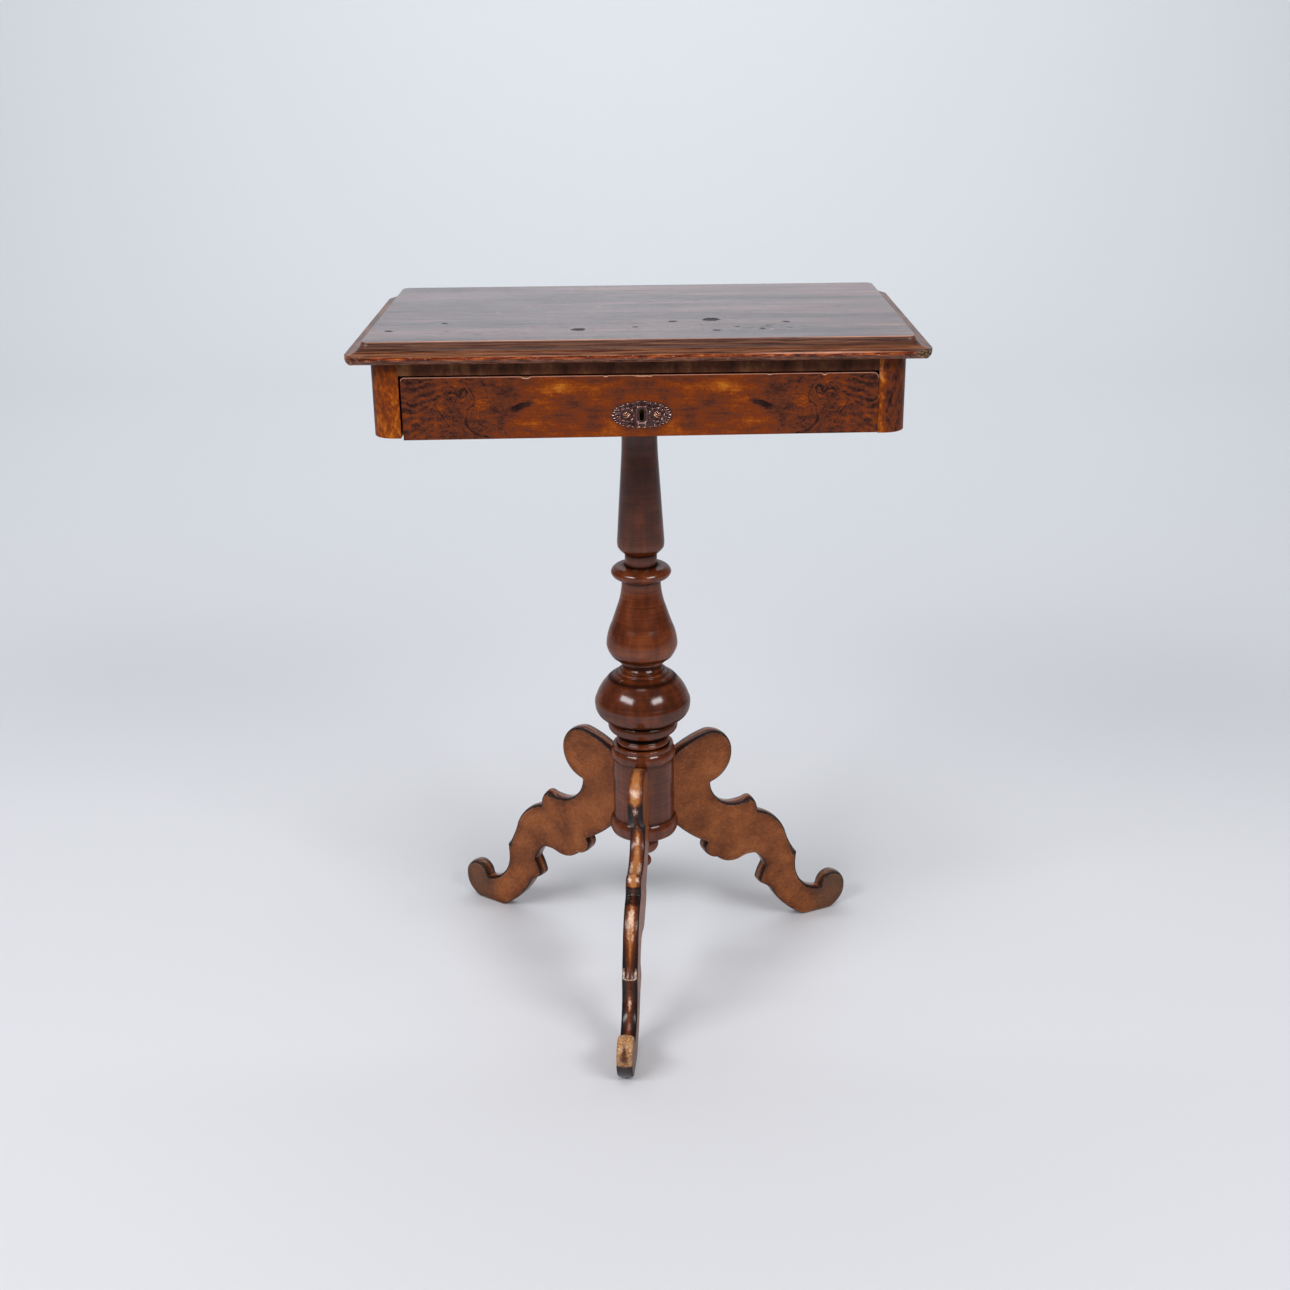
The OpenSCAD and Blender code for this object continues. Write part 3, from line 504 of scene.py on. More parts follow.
def top_mahogany():
    """Field of the top: old mahogany under a dulled film, with round drips that bit through the
    polish and took its gloss, and pale flecks."""
    m = new_material("mahogany_field")
    grain = m.add("Mix", 0.45, m.noise((330, 38, 38), 5, 0.6), m.noise((170, 4.5, 4.5), 5, 0.6))
    fine = m.noise((46, 1.2, 1.2))
    cloud = m.noise((90, 60, 40), 5)
    edge = m.noise((7, 7, 7), 3).outputs["Color"]
    wood = m.ramp(grain, {0.34: "#241212", 0.46: "#462421", 0.54: "#64362e", 0.66: "#925040"})
    pores = m.ramp(fine, {0.36: "#8a7a74", 0.55: "#ffffff"})
    toned = m.mix(0.7, wood, pores, blend_type="MULTIPLY")
    bent = m.add("VectorMath ADD", m.place, m.add("VectorMath SCALE", edge, SWAY * MM))
    marks = {}
    for kind, spots in [("dark", DRIPS), ("pale", PALE_DOTS)]:
        for x, y, r in spots:
            centre = [(c + SWAY / 2) * MM for c in (x, y, TOP_Z)]
            gap = m.add("VectorMath DISTANCE", bent, centre)
            spot = m.map(gap, (r + 0.4) * MM, (r - 0.9) * MM)
            marks[kind] = m.larger(spot, marks[kind]) if kind in marks else spot
    for kind, x, y, rx, ry, size in FLECKS:
        local = m.add("Mapping", {
            "Vector": m.place, "Location": (-x / rx, -y / ry, 0),
            "Scale": (1 / (rx * MM), 1 / (ry * MM), 0)})
        near = m.map(m.add("VectorMath LENGTH", local), 1.1, 0.4)
        flecks = m.map(m.noise(size, 3), 0.57, 0.64, 0, 0.6)
        marks[kind] = m.larger(m.times(near, flecks), marks[kind])
    stained = m.mix(marks["dark"], toned, "#1e100c")
    flecked = m.mix(marks["pale"], stained, "#88684a")
    # Pale line along the upper arris: worn finish and painted highlight both.
    rub = m.map(m.times("wear", cloud), 0.2, 0.6)
    colour = m.mix(rub, flecked, "#c4886c")
    dull = m.times_plus(marks["dark"], 0.4, m.map(cloud, 0, 1, 0.28, 0.46))
    gloss = m.map(marks["dark"], 0, 1, 0.78, 0.18)
    for thins in [m.map(m.noise((9, 2.6, 2.6), 3), 0.56, 0.7, 1.0, 0.5),
                  m.map(grain, 0.38, 0.58, 0.78, 1.12),
                  m.map(m.add("SeparateXYZ", m.place), -0.05, 0.27, 1.0, 0.88)]:
        gloss = m.times(gloss, thins)
    return m.finished(colour, dull, 0.2, gloss, 0.2, relief=(fine, 0.12, 0.0004))


def edge_mahogany():
    """Moulded edge of the top: a dark cove, greyed above by a painted sheen and darkened in its middle by
    painted shade; a rubbed fine arris whose pale line is partly a painted highlight; a nose worn to
    orange-red above and brown below, where it faces down, as painted shade; pale chips; and dull end grain
    on the cut corners, with a painted highlight round its rim."""
    m = new_material("mahogany_edge")
    grain = m.noise((60, 60, 1.0), 6, 0.75)
    patchy = m.noise((15, 15, 1.8), 5, 0.72)
    # The upper ramp is greyer: a painted sheen, the reflection that the cove's upper part shows.
    upper = m.ramp(grain, {0.37: "#20120e", 0.47: "#48302a", 0.6: "#6c5044"})
    lower = m.ramp(grain, {0.37: "#30140a", 0.46: "#5a2e1a", 0.6: "#86522e"})
    smooth = m.mix("cove", upper, lower)
    # Painted shade: the middle of the cove is darkened where the concave profile lies in shade.
    cove_shade = m.ramp("cove", {0.38: "#ffffff", 0.55: "#b4acac", 0.72: "#ffffff"})
    hollow = m.mix(1.0, smooth, cove_shade, blend_type="MULTIPLY")
    red = m.ramp(patchy, {0.38: "#1c0803", 0.47: "#581c05", 0.54: "#8c3606", 0.64: "#c06828"})
    # Painted shade: the nose's lower half, which faces down, is brown; the orange-red above it is wear.
    brown = m.ramp(patchy, {0.38: "#38201a", 0.5: "#683f2e", 0.62: "#8a5c48"})
    round_nose = m.mix("nose", hollow, m.mix("under", red, brown))
    ends = m.ramp(m.noise((3.2, 3.2, 1.6), 3, 0.7), {0.42: "#140b07", 0.52: "#4a3320", 0.64: "#a08260"})
    sawn = m.mix("end_grain", round_nose, ends)
    # Painted highlight: a pale line round the rim of each cut corner's end grain.
    rim = m.ramp("end_grain", {0.35: "#000000", 0.55: "#ffffff", 0.8: "#000000"})
    # Pale lines along the arrises: worn finish and painted highlight both.
    rub = m.map(m.times("wear", patchy), 0.16, 0.56)
    chips = m.times(m.map(m.noise((3.4, 3.4, 1.1), 2), 0.66, 0.7), "nose")
    colour = m.mix(m.larger(m.larger(rub, chips), rim), sawn, "#b88470")
    return m.finished(colour, 0.36, 0.14, 0.14, 0.1)


def burr_walnut():
    """Burr walnut veneer: its tone gives the figure, fine noise the pores, wear the rubbed arris."""
    m = new_material("burr_walnut")
    pores = m.noise((2.2, 2.2, 0.7), 4, 0.7)
    wave = m.noise((9, 9, 6), 3)
    total = m.add("Math SUBTRACT", m.times_plus(pores, 0.22, "tone"), 0.11)
    shade = m.ramp(total, {
        0.0: "#1c0e0c", 0.18: "#3e2018", 0.36: "#5c2d1a", 0.55: "#72310d", 0.75: "#92480f",
        1.0: "#bb7422"})
    worn = m.mix(m.map(m.times_plus("wear", wave, "wear"), 0.5, 1.2), shade, "#c58d78")
    colour = m.mix(m.map("wear", 1.4, 1.8), worn, "#e6bf98")
    rough = m.map(wave, 0, 1, 0.32, 0.44)
    return m.finished(colour, rough, 0.07, 0.05, 0.12, relief=(wave, 0.15, 0.0006))


def dark_rail_wood():
    """Stained rail: almost black brown with cross-banded vertical streaks, lighter at its left end by a
    painted highlight.
    """
    m = new_material("crossbanded_rail")
    streak = m.noise((15, 15, 30), 5, 0.65)
    # Painted highlight: the left end is lighter.
    end = m.map(m.add("SeparateXYZ", m.place), -0.22, -0.06, 0.07, -0.03)
    shade = m.ramp(m.add("Math ADD", streak, end), {0.32: "#311810", 0.52: "#54301e", 0.7: "#7a5032"})
    return m.finished(shade, 0.36, 0.08, 0.05, 0.15)


def turned_shellac():
    """Turned wood under dark shellac: red-brown with faint rings from the lathe, its tone shifted by its
    lift, which also paints highlights on the ridges, and blackened by painted shade in the grooves and
    under the ball."""
    m = new_material("shellacked_turning")
    grain = m.noise((11, 11, 160))
    band = m.noise((70, 70, 1.6), 4, 0.6)
    cloud = m.noise((30, 30, 22))
    soft = m.add("Mix", 0.35, m.add("Mix", 0.4, grain, band), cloud)
    shade = m.ramp(m.add("Math ADD", soft, "lift"), {
        0.26: "#2e1007", 0.42: "#4c220f", 0.52: "#602c15", 0.68: "#844524"})
    # Painted shade: grooves and the ball's underside go towards near-black.
    groove_shaded = m.mix("hollow", shade, "#0e0605")
    polish = m.map("hollow", 0, 1, 0.54, 0.03)
    return m.finished(groove_shaded, 0.3, 0.0, polish, 0.16, relief=(band, 0.1, 0.0004), **{"Coat IOR": 1.7})


def leg_face_wood():
    """Flat faces of the legs: mottled golden brown, darker towards the edges by painted shade and towards
    the toe, with a thin pale line along each arris and small dents."""
    m = new_material("leg_faces")
    cloud = m.noise((34, 34, 26))
    fine = m.noise((4, 4, 2.4), 4, 0.65)
    both = m.add("Mix", 0.45, cloud, fine)
    # Painted shade: the faces darken towards their edges.
    edge = m.map("depth", 0.0, 9.0, -0.1, 0.0)
    tone = m.add("Math ADD", both, m.times_plus("toe", -0.15, edge))
    flat = m.ramp(tone, {0.26: "#46210d", 0.4: "#6c3817", 0.53: "#874a22", 0.72: "#a06236"})
    rub = m.map(m.times("wear", cloud), 0.25, 0.6, 0, 0.6)
    dents = m.map(m.noise((2.4, 2.4, 2.4), 1), 0.74, 0.8, 0, 0.7)
    greyed = m.mix(m.times("toe", 0.4), flat, "#66503f")
    colour = m.mix(m.larger(rub, dents), greyed, "#b98468")
    rough = m.map(cloud, 0, 1, 0.38, 0.52)
    return m.finished(colour, rough, 0.16, 0.12, 0.22, relief=(both, 0.2, 0.0006))


def leg_edge_wood():
    """Crowned sawn edges of the legs: dark and glossy, rubbed through to orange, bare wood, and pale spots
    that are painted highlights; darkened towards the crown's sides and under the toe by painted shade, with
    a thin line along each arris."""
    m = new_material("leg_edges")
    fine = m.noise((2.2, 2.2, 3.2), 5, 0.7)
    bent = m.times("crown", "crown")
    # Painted shade: the crown darkens towards its sides, leaving its middle lit.
    lower = m.times_plus("crown", -1.05, m.times_plus(fine, 0.9, "rub"))
    sawn = m.ramp(lower, {0.0: "#160a08", 0.3: "#361910", 0.55: "#582814", 0.85: "#7e421e", 1.2: "#a86c3c"})
    tan = m.ramp(fine, {0.34: "#6e4628", 0.48: "#a8784c", 0.66: "#cfa67c"})
    through = m.mix("bare", sawn, tan)
    # Painted highlights: the pale spots, broken by noise, turn the edge near-white.
    glint = m.map(m.times_plus(fine, 1.7, "pale"), 1.2, 1.8)
    highlighted = m.mix(glint, through, "#e0bda4")
    # Painted shade at the toe, where the foot turns down to the floor.
    toe_shaded = m.mix("grime", highlighted, "#2c2522")
    rub = m.map(m.times("wear", fine), 0.25, 0.6, 0, 0.6)
    colour = m.mix(rub, toe_shaded, "#b98468")
    dry = m.times_plus("bare", 0.24, m.map(bent, 0, 1, 0.26, 0.6))
    film = m.map(bent, 0, 1, 0.5, 0.04)
    return m.finished(colour, dry, 0.14, film, 0.16, relief=(fine, 0.25, 0.0005))


def bare_softwood():
    """Pine of the drawer and the hidden framing: pale, dry, browned by age."""
    m = new_material("aged_pine")
    both = m.add("Mix", 0.35, m.noise((160, 160, 3), 5), m.noise((50, 50, 30), 3))
    return m.finished(m.ramp(both, {0.34: "#7e5638", 0.5: "#a0744e", 0.66: "#bc9066"}), 0.7)


def plate_brass():
    """Stamped brass plate under old dark lacquer: purple-brown, lighter on the raised relief, where it is
    rubbed and where a painted highlight turns the beads and frame near-white, with rubbed coppery leaves.
    """
    m = new_material("lacquered_brass_plate")
    # Lighter with height: rubbed high points, and near-white at the top as a painted highlight on beads and
    # frame.
    both = m.times_plus(m.noise((3, 3, 3)), 0.4, m.map("height", 0.75, 1.7))
    shade = m.ramp(both, {0.15: "#361c1a", 0.55: "#6c3e36", 0.85: "#9a665a", 1.15: "#ecccc0"})
    colour = m.mix(m.map("leaf", 0.35, 0.9), shade, "#dc9468")
    return m.finished(colour, 0.24, 0.5, 0.6, 0.08, Metallic=0.7)


MAHOGANY, MAHOGANY_EDGE = top_mahogany(), edge_mahogany()
BURR, RAIL_DARK, SHELLAC = burr_walnut(), dark_rail_wood(), turned_shellac()
LEG_FACE, LEG_EDGE, PINE, PLATE = leg_face_wood(), leg_edge_wood(), bare_softwood(), plate_brass()
# Side and back rails: polished walnut.
WALNUT = plain_finish("walnut_rails", (120, 120, 5), 6, {0.3: "#2a1209", 0.5: "#50260f", 0.7: "#784018"},
                      0.36, 0.5, 0.5, 0.16)
# Dull lock brass, and hand-cut screws, grey and slightly rusted.
BRASS = plain_finish("dull_lock_brass", (8, 8, 8), 5, {0.35: "#5c4426", 0.65: "#9a7c4a"}, 0.42,
                     Metallic=1.0)
STEEL = plain_finish("old_screw_steel", (2, 2, 2), 4, {0.4: "#5a5654", 0.7: "#6e4c38"}, 0.5, Metallic=0.9)

# ---- top ----

CORNER_STEPS, SIDE_STEPS = 12, 6
ROUND_FROM = 6.7        # inset at which the corners start to be rounded


def ring_at(inset):
    """The top's outline at one inset, clockwise from the front left corner, and which of its points
    lie on a cut corner. The vertical cut is a quarter circle of radius TOP_CORNER; further in, the
    corner is rounded, by up to ARRIS_R at the upper arris."""
    ix = inset + (MOULD_END - MOULD_OUT) * ramp(inset, COVE_FOOT, MOULD_OUT)
    a, b, r = TOP_L / 2, TOP_W / 2, TOP_CORNER
    cut = math.hypot(r - ix, r - inset) > r and ix < r and inset < r
    if cut:
        t = np.linspace(math.acos((r - ix) / r), math.asin((r - inset) / r), CORNER_STEPS + 1)
        corner = np.stack([a - r + r * np.cos(t), b - r + r * np.sin(t)], axis=1)
    else:
        k = ramp(inset, ROUND_FROM, MOULD_OUT)
        e = ARRIS_R * k * k * (3 - 2 * k) * min(1.0, (b - inset) / (b - MOULD_OUT - 4))
        t = np.linspace(0, QUARTER, CORNER_STEPS + 1)
        corner = np.stack([a - ix - e + e * np.cos(t), b - inset - e + e * np.sin(t)], axis=1)
    runs = [(corner * (sx, sy))[::-sx * sy] for sx, sy in [(-1, -1), (-1, 1), (1, 1), (1, -1)]]
    along = np.linspace(0, 1, SIDE_STEPS + 1)[1:-1, None]
    points = [np.concatenate([here, here[-1] + (after[0] - here[-1]) * along])
              for here, after in zip(runs, runs[1:] + runs[:1])]
    on_cut = np.zeros(len(points[0]))
    on_cut[1:CORNER_STEPS] = cut
    return np.concatenate(points), np.tile(on_cut, 4)


def moulded_top():
    """The top: an edge of arris, cove, fine arris and round nose, carried round the outline; both
    faces close on a line."""
    foot = TOP_Z - COVE_DROP
    section = traced([
        [MOULD_OUT + 4, TOP_Z], [MOULD_OUT, TOP_Z, 0.4], [COVE_FOOT, foot + 0.6, -0.25],
        [0.3, foot - 0.4, -0.12], [0, foot - 2, -0.34], [8, CASE_TOP], [12, CASE_TOP]],
        0.35, 0.28, closed=False)
    inset = np.concatenate([[TOP_W / 2], np.maximum(section[:, 0], 0), [TOP_W / 2]])
    height = np.concatenate([[TOP_Z], section[:, 1], [CASE_TOP]])[:, None]
    rings, cuts = map(np.array, zip(*[ring_at(i) for i in inset]))
    x, y = rings[..., 0], rings[..., 1]
    flat, inset, drop = 0 * x, inset[:, None], TOP_Z - height
    # Thin lines along the upper and fine arrises, for the wear number: worn finish and painted highlight
    # both.
    upper = np.exp(-((inset - MOULD_OUT) ** 2 + drop ** 2) / 1.1 ** 2)
    lower = np.exp(-((inset - 0.6) ** 2 + (drop - COVE_DROP) ** 2) / 1.3 ** 2)
    front = np.where(np.abs(y) > TOP_W / 2 - MOULD_OUT - 6, 1.0, 0.25)
    # How strongly the fine arris's pale line shows along the front: wear and painted highlight both, most
    # on the right.
    rubbed = np.interp(x, [-270, -160, -150, -70, 60, 118, 130, 215, 235],
                       [0.4, 0.4, 0.7, 0.6, 0.35, 0.5, 1.2, 1.2, 0.4])
    # The under number marks the nose's downward half, which the edge material paints brown as shade.
    board = make_piece(
        "top_board", np.stack([x, y, height + flat], axis=2), quads(*x.shape, wrap=True), "stand",
        "table_top", MAHOGANY, 30,
        {"wear": np.maximum(upper, rubbed * lower) * front, "cove": unit(drop / COVE_DROP) + flat,
         "nose": unit((drop - COVE_DROP + 0.2) / 1.2) + flat,
         "under": unit((drop - COVE_DROP - 2) / 2) + flat,
         "end_grain": cuts * np.where(x > 0, 1, 0.3)})
    second_material(board, MAHOGANY_EDGE, face_mean(board, "cove") > 0.05)


# ---- case ----


def make_posts():
    """Corner posts, square inside and round outside. The tone runs along the post's surface; the
    right front post is lightest along its inner edge."""
    x0, x1, y0, y1 = CASE_X - POST, CASE_X, CASE_Y - POST, CASE_Y
    corners = [[x0, y0], [x0, y1], [x1 - POST_R, y1, 0.4142], [x1, y1 - POST_R], [x1, y0]]
    outline = traced(corners)
    for seed, (name, sx, sy) in enumerate([("post_front_left", -1, -1), ("post_front_right", 1, -1),
                                           ("post_back_left", -1, 1), ("post_back_right", 1, 1)]):
        points, faces = prism((outline * (sx, sy))[::sx * sy], CASE_Z, CASE_TOP, 0.5, PLAN, 90)
        x, y, z = points.T
        out, back = np.abs(x), np.abs(y)
        inner = unit(1.6 - (out - x0) / 5.0) * (back > y1 - 1)
        inner *= 0.7 + 0.5 * ripple(x, z, (3, 9), 40, 3)
        foot = unit(1 - (z - CASE_Z) / 2.2)
        head = unit(1 - (CASE_TOP - z) / 14)
        outer = ramp(out, x1 - 5, x1)
        shade = 0.13 - 0.5 * outer - 0.25 * head if sx < 0 else 0.55 * inner - 0.16
        slot, material = ("burr_wood", BURR) if sy < 0 else ("case_wood", WALNUT)
        make_piece("corner_" + name, points, faces, "stand", name, material, 30,
                   {"tone": unit(post_figure(out - back, z, 20 + 5 * seed) + shade),
                    "wear": 0.5 * np.maximum(inner * (sx > 0), foot)})


def make_rails():
    """Side and back rails; the front rail keeps its solid with its mortise."""
    inner_x, inner_y = CASE_X - POST, CASE_Y - POST
    for name, node, low, high, reach, axes in [
            ("rail_left", "side_rail_left", -CASE_X, -CASE_X + SIDE_RAIL, inner_y, FRONT),
            ("rail_right", "side_rail_right", CASE_X - SIDE_RAIL, CASE_X, inner_y, FRONT),
            ("rail_back", "back_rail", CASE_Y - BACK_RAIL, CASE_Y, inner_x, SIDE)]:
        corners = [[low, CASE_Z], [low, CASE_TOP], [high, CASE_TOP], [high, CASE_Z]]
        points, faces = prism(traced(corners), -reach, reach, 0.2, axes)
        make_piece(name, points, faces, "stand", node, WALNUT, 30)


# ---- column and drop ----

# Half sections as radius, height and rise if any, from the top down, and the heights of grooves and of the
# ball's underside that get painted shade.
COLUMN_CORNERS = [
    [14, 657], [14, 639], [18.6, 639], [18.8, 613], [19.3, 600], [25.4, 505, 0.05], [24.9, 499, 0.12],
    [17.8, 491.5], [17.3, 490], [17.3, 478], [26.6, 477.3, 0.27], [32.6, 470.7, 0.27], [26.8, 464],
    [21.2, 463], [21.2, 456, -0.05], [24.8, 436], [32.9, 412, 0.1], [38.9, 388, 0.12],
    [34.9, 377.5, 0.18], [28.5, 371.6], [26, 370.8, 0.1], [25.5, 368], [22, 367.3], [21, 363],
    [22.6, 360.2], [23.5, 357.4], [27, 357], [27.5, 354.6], [30.5, 353.4, 0.12],
    [BALL_R - 11.6, 344.5, 0.1], [BALL_R - 1.6, 327, 0.18], [BALL_R, 317, 0.22],
    [BALL_R - 5.6, 305, 0.12], [37.5, 300], [36, 299.2], [37, 298.4, 0.16], [38.6, 292, 0.26],
    [34, 285.2], [29.5, 284.2, -0.25], [27.2, 279.5, -0.25], [28.6, 276.4, 0.4], [29, 271.2],
    [27.9, 270.2], [HUB_R - 1.2, 270, 0.2], [HUB_R - 0.6, 268.2], [HUB_R - 0.6, 265.6],
    [HUB_R - 0.2, 265, 0.28], [HUB_R + 0.8, HUB_Z1], [HUB_R, HUB_Z1 - 1.6], [HUB_R, HUB_Z0 + 19],
    [HUB_R + 1.2, HUB_Z0 + 18.4, 0.3], [HUB_R + 2, HUB_Z0 + 1, 0.3], [HUB_R + 1, HUB_Z0], [0, HUB_Z0]]
DROP_CORNERS = [[r, HUB_Z0 + z, *rise] for r, z, *rise in [
    [0, 1], [8, 1, -0.15], [7.4, -8, -0.1], [12, -11, 0.3], [16, -18, 0.35], [8, -29], [4.6, -30, -0.3],
    [4, -34], [5.2, -35.5, 0.2], [7.8, -41, 0.32], [3, -48.2], [1.6, -51, 0.3], [0, -52]]]
SHADED_HEIGHTS = [376, 350, 303, 281]
STRAIGHT = 0.02         # radians


def turned(name, corners, node, step, ease, around):
    """A half section turned about the z axis. Its number for painted shade is the mean radius nearby less
    the radius, over 1.2 mm, and more at the heights listed above; where that number is negative, on ridges,
    it lifts the tone as a painted highlight. Where the section is nearly straight only each third of its
    points is kept."""
    line = traced(corners, step, ease, closed=False)
    line[:, 0] = np.maximum(line[:, 0], 0)
    line[-1, 0] = 0
    starts_open = corners[0][0] > 0
    if not starts_open:
        line[0, 0] = 0
    reach = int(10 / step)
    mean = np.convolve(np.pad(line[:, 0], reach, mode="edge"), bell(reach, step, 3.5), mode="valid")
    hollow = (mean - line[:, 0]) / 1.2 + sum(0.9 * hump(line[:, 1] - z, 2.2) for z in SHADED_HEIGHTS)
    # Ridges, where that number is negative, get a painted highlight; the table by height shifts each part's
    # tone.
    lift = 0.08 * unit(-0.9 * hollow) + np.interp(
        line[:, 1], [262, 300, 350, 362, 460, 500, 560, 657],
        [0, -0.09, -0.06, 0.02, 0, -0.07, -0.1, -0.07])
    angle = np.unwrap(np.arctan2(*np.diff(line, axis=0).T))
    bend = np.pad(np.abs(np.diff(angle)), 1, constant_values=1)
    keep = (bend > STRAIGHT) | (np.arange(len(line)) % 3 == 0)
    radius, height = line[keep].T[:, :, None]
    t = np.linspace(0, 2 * math.pi, around, endpoint=False)
    points = np.stack([radius * np.cos(t), radius * np.sin(t), height + 0 * t], axis=-1)
    faces = quads(len(radius), around, wrap=True) + [list(range(around))] * starts_open
    make_piece(name, points, faces, "stand", node, SHELLAC, 60,
               {"hollow": np.repeat(hollow[keep], around), "lift": np.repeat(lift[keep], around)})


# ---- legs ----

LEG_CORNERS = [
    [24, 246], [34, 251], [36, 251.8, 0.1], [80, 269.8, 0.414], [109.4, 240, 0.36], [82, 204.5, -0.49],
    [128.5, 173.6, 0.15], [135.3, 175.2, 0.25], [144, 155.3, 0.236], [182, 121.5, -0.11],
    [200, 86.8, -0.466], [231.7, 31.8, 0.4], [249, 48.4, 0.41], [267, 28, 0.36], [246.5, 0],
    [209, 0, 0.148], [163.5, 46.5, -0.05], [151.5, 55.6, 0.3], [147.8, 61.3, 0.08], [155.6, 79.8, -0.15],
    [141, 99.5, -0.16], [122, 98.4, 0.315], [90.5, 106.2, 0.37], [74, 121.8, 0.15], [77, 129, 0.08],
    [42, 155.5], [34, 163], [24, 165]]
TOE, CUSPS = (246.5, 0), [((132, 173), 2.4, 7), ((198.5, 90), 4.5, 8)]
ACROSS = np.array([0, 0.15, 0.3, 0.45, 0.6, 0.72, 0.82, 0.88, 0.93, 0.97, 1.0])
GRID_STEP = 2.6


def leg_points():
    """A leg in its own plane, x outwards and y across: two triangulated outlines, raised towards each
    face. The sawn edge is crowned: at w of half the thickness its inset is 0.55 w^2 of the rounding's
    depth and, near the face, a quarter circle. That depth is 3.3 mm along the upper edge, 1.6 mm
    under the leg, and more at the two cusps."""
    line = traced(LEG_CORNERS, ease=0.6)
    away = lambda p: np.linalg.norm(line - p, axis=1)
    upper = unit((away(TOE).argmin() - np.arange(len(line))) / 12)
    deep = 1.6 + 1.7 * upper + upper * sum(more * hump(away(at), wide) for at, more, wide in CUSPS)
    over = ramp(ACROSS, 0.82, 1)
    drop = 0.55 * ACROSS ** 2 + 0.45 * (1 - np.sqrt(1 - over ** 2))
    inset = drop[:, None] * deep
    rings = line - inset[..., None] * outward(line)
    gx, gy = np.meshgrid(*[np.arange(*ends, GRID_STEP) for ends in zip(line.min(axis=0), line.max(axis=0))])
    seeds = np.concatenate([rings[1:].reshape(-1, 2), np.stack([gx.ravel(), gy.ravel()], axis=1)])
    wanted = np.concatenate([inset[1:].ravel(), np.full(gx.size, 4.2)])

    def nearest(p):
        """Distance to the outline's points, and the number of the nearest one."""
        parts = [np.linalg.norm(q[:, None] - line[None], axis=2) for q in np.array_split(p, 24)]
        parts = np.concatenate([np.stack([d.min(axis=1), d.argmin(axis=1)], axis=1) for d in parts])
        return parts[:, 0], parts[:, 1].astype(int)

    seeds = seeds[nearest(seeds)[0] > wanted * 0.97 - 0.004]
    n = len(line)
    flat, _, faces, *_ = delaunay_2d_cdt([Vector(p) for p in np.concatenate([line, seeds])],
                                         [(i, (i + 1) % n) for i in range(n)], [], 1, 1e-5)
    flat = np.array([tuple(p) for p in flat])
    gap, at = nearest(flat)
    crown = np.interp(gap / deep[at], drop, ACROSS)
    half = LEG_T / 2 * crown
    points = np.concatenate([np.stack([flat[:, 0], s * half, flat[:, 1]], axis=1) for s in (-1, 1)])
    faces = [list(f) for f in faces]
    faces += [[i + len(flat) for i in f[::-1]] for f in faces]
    return points, faces, *[np.tile(v, 2) for v in (crown, np.clip(gap - deep[at], 0, None), upper[at])]


# Front leg: how far it is rubbed at each height, its dip under the lobe from 206 to 240, where the edge
# turns down, being painted shade as well; and painted highlights, as pale spots, given as place across the
# half thickness (0 to 1), height, two sizes and strength.
RUBBED = [
    (50, 0.3), (60, 0.45), (68, 0.2), (99, 0.3), (105, 0.45), (114, 0.55), (121, 0.7), (134, 0.8),
    (149, 0.7), (151, 0.05), (163, 0.05), (165, 0.9), (178, 0.8), (186, 0.8), (198, 0.6), (206, 0.2),
    (214, 0.02), (240, 0.1), (247, 1.0), (262, 1.1), (275, 0.7)]
PAINTED_HIGHLIGHTS = [
    (0, 255, 0.6, 5, 1.0), (0.1, 236, 0.3, 5, 0.7), (0, 190, 0.3, 6, 0.9), (0.5, 171, 0.3, 3.5, 0.75),
    (0, 156, 0.3, 0.7, 0.6), (0.1, 141, 0.35, 8, 1.0), (0.3, 126, 0.25, 7, 0.6), (0.75, 90, 0.2, 5, 0.9),
    (0.3, 85.5, 0.6, 1.4, 0.8), (0, 57, 0.25, 7, 0.9)]


def make_legs():
    """Three legs from one pattern. The front one is rubbed orange on its lobe, cusp and back, with painted
    highlights, and bare at the foot; the side legs keep their dark finish. All are darkened at the toe by
    painted shade."""
    points, faces, crown, inside, upper = leg_points()
    out, across, up = points.T
    arris = unit(hump(crown - 0.97, 0.035) + hump(inside, 0.45) * (crown > 0.999))
    foot = unit((out - 229) / 4)
    for name, degrees in LEG_ANGLES.items():
        c, s = math.cos(math.radians(degrees)), math.sin(math.radians(degrees))
        if name == "leg_front":
            # The low values under the lobe, from 206 to 240, paint its shade where the edge turns down.
            rub = np.interp(up, *zip(*RUBBED)) * (1 - 0.8 * foot)
            # Painted highlights on the front leg's upper edge.
            pale = sum(amount * patch(crown, up, *spot) for *spot, amount in PAINTED_HIGHLIGHTS) * upper
            stain = patch(crown, up, 0.05, 33, 0.55, 5) + patch(crown, up, 0, 41, 0.25, 4.5)
            bare = foot * unit((up - 24) / 3) * unit(1 - stain)
            # Painted shade on the toe's underside.
            grime, wear = foot * unit((25 - up) / 3), 0.12 * arris
        else:
            # Side legs: painted shade over the foot, fainter.
            rub, pale, bare, grime, wear = 0 * out + 0.56, 0 * out, 0.04 * foot, 0.35 * foot, 0.65 * arris
        leg = make_piece(
            "scroll_" + name, np.stack([out * c - across * s, out * s + across * c, up], axis=1), faces,
            "stand", name, LEG_FACE, 40,
            {"crown": np.where(inside > 0.02, 1.0, crown), "rub": rub, "bare": bare, "grime": grime,
             "wear": wear, "pale": pale, "toe": unit((out - 212) / 25), "depth": inside})
        second_material(leg, LEG_EDGE, face_mean(leg, "depth") < 0.01)


# ---- drawer front ----

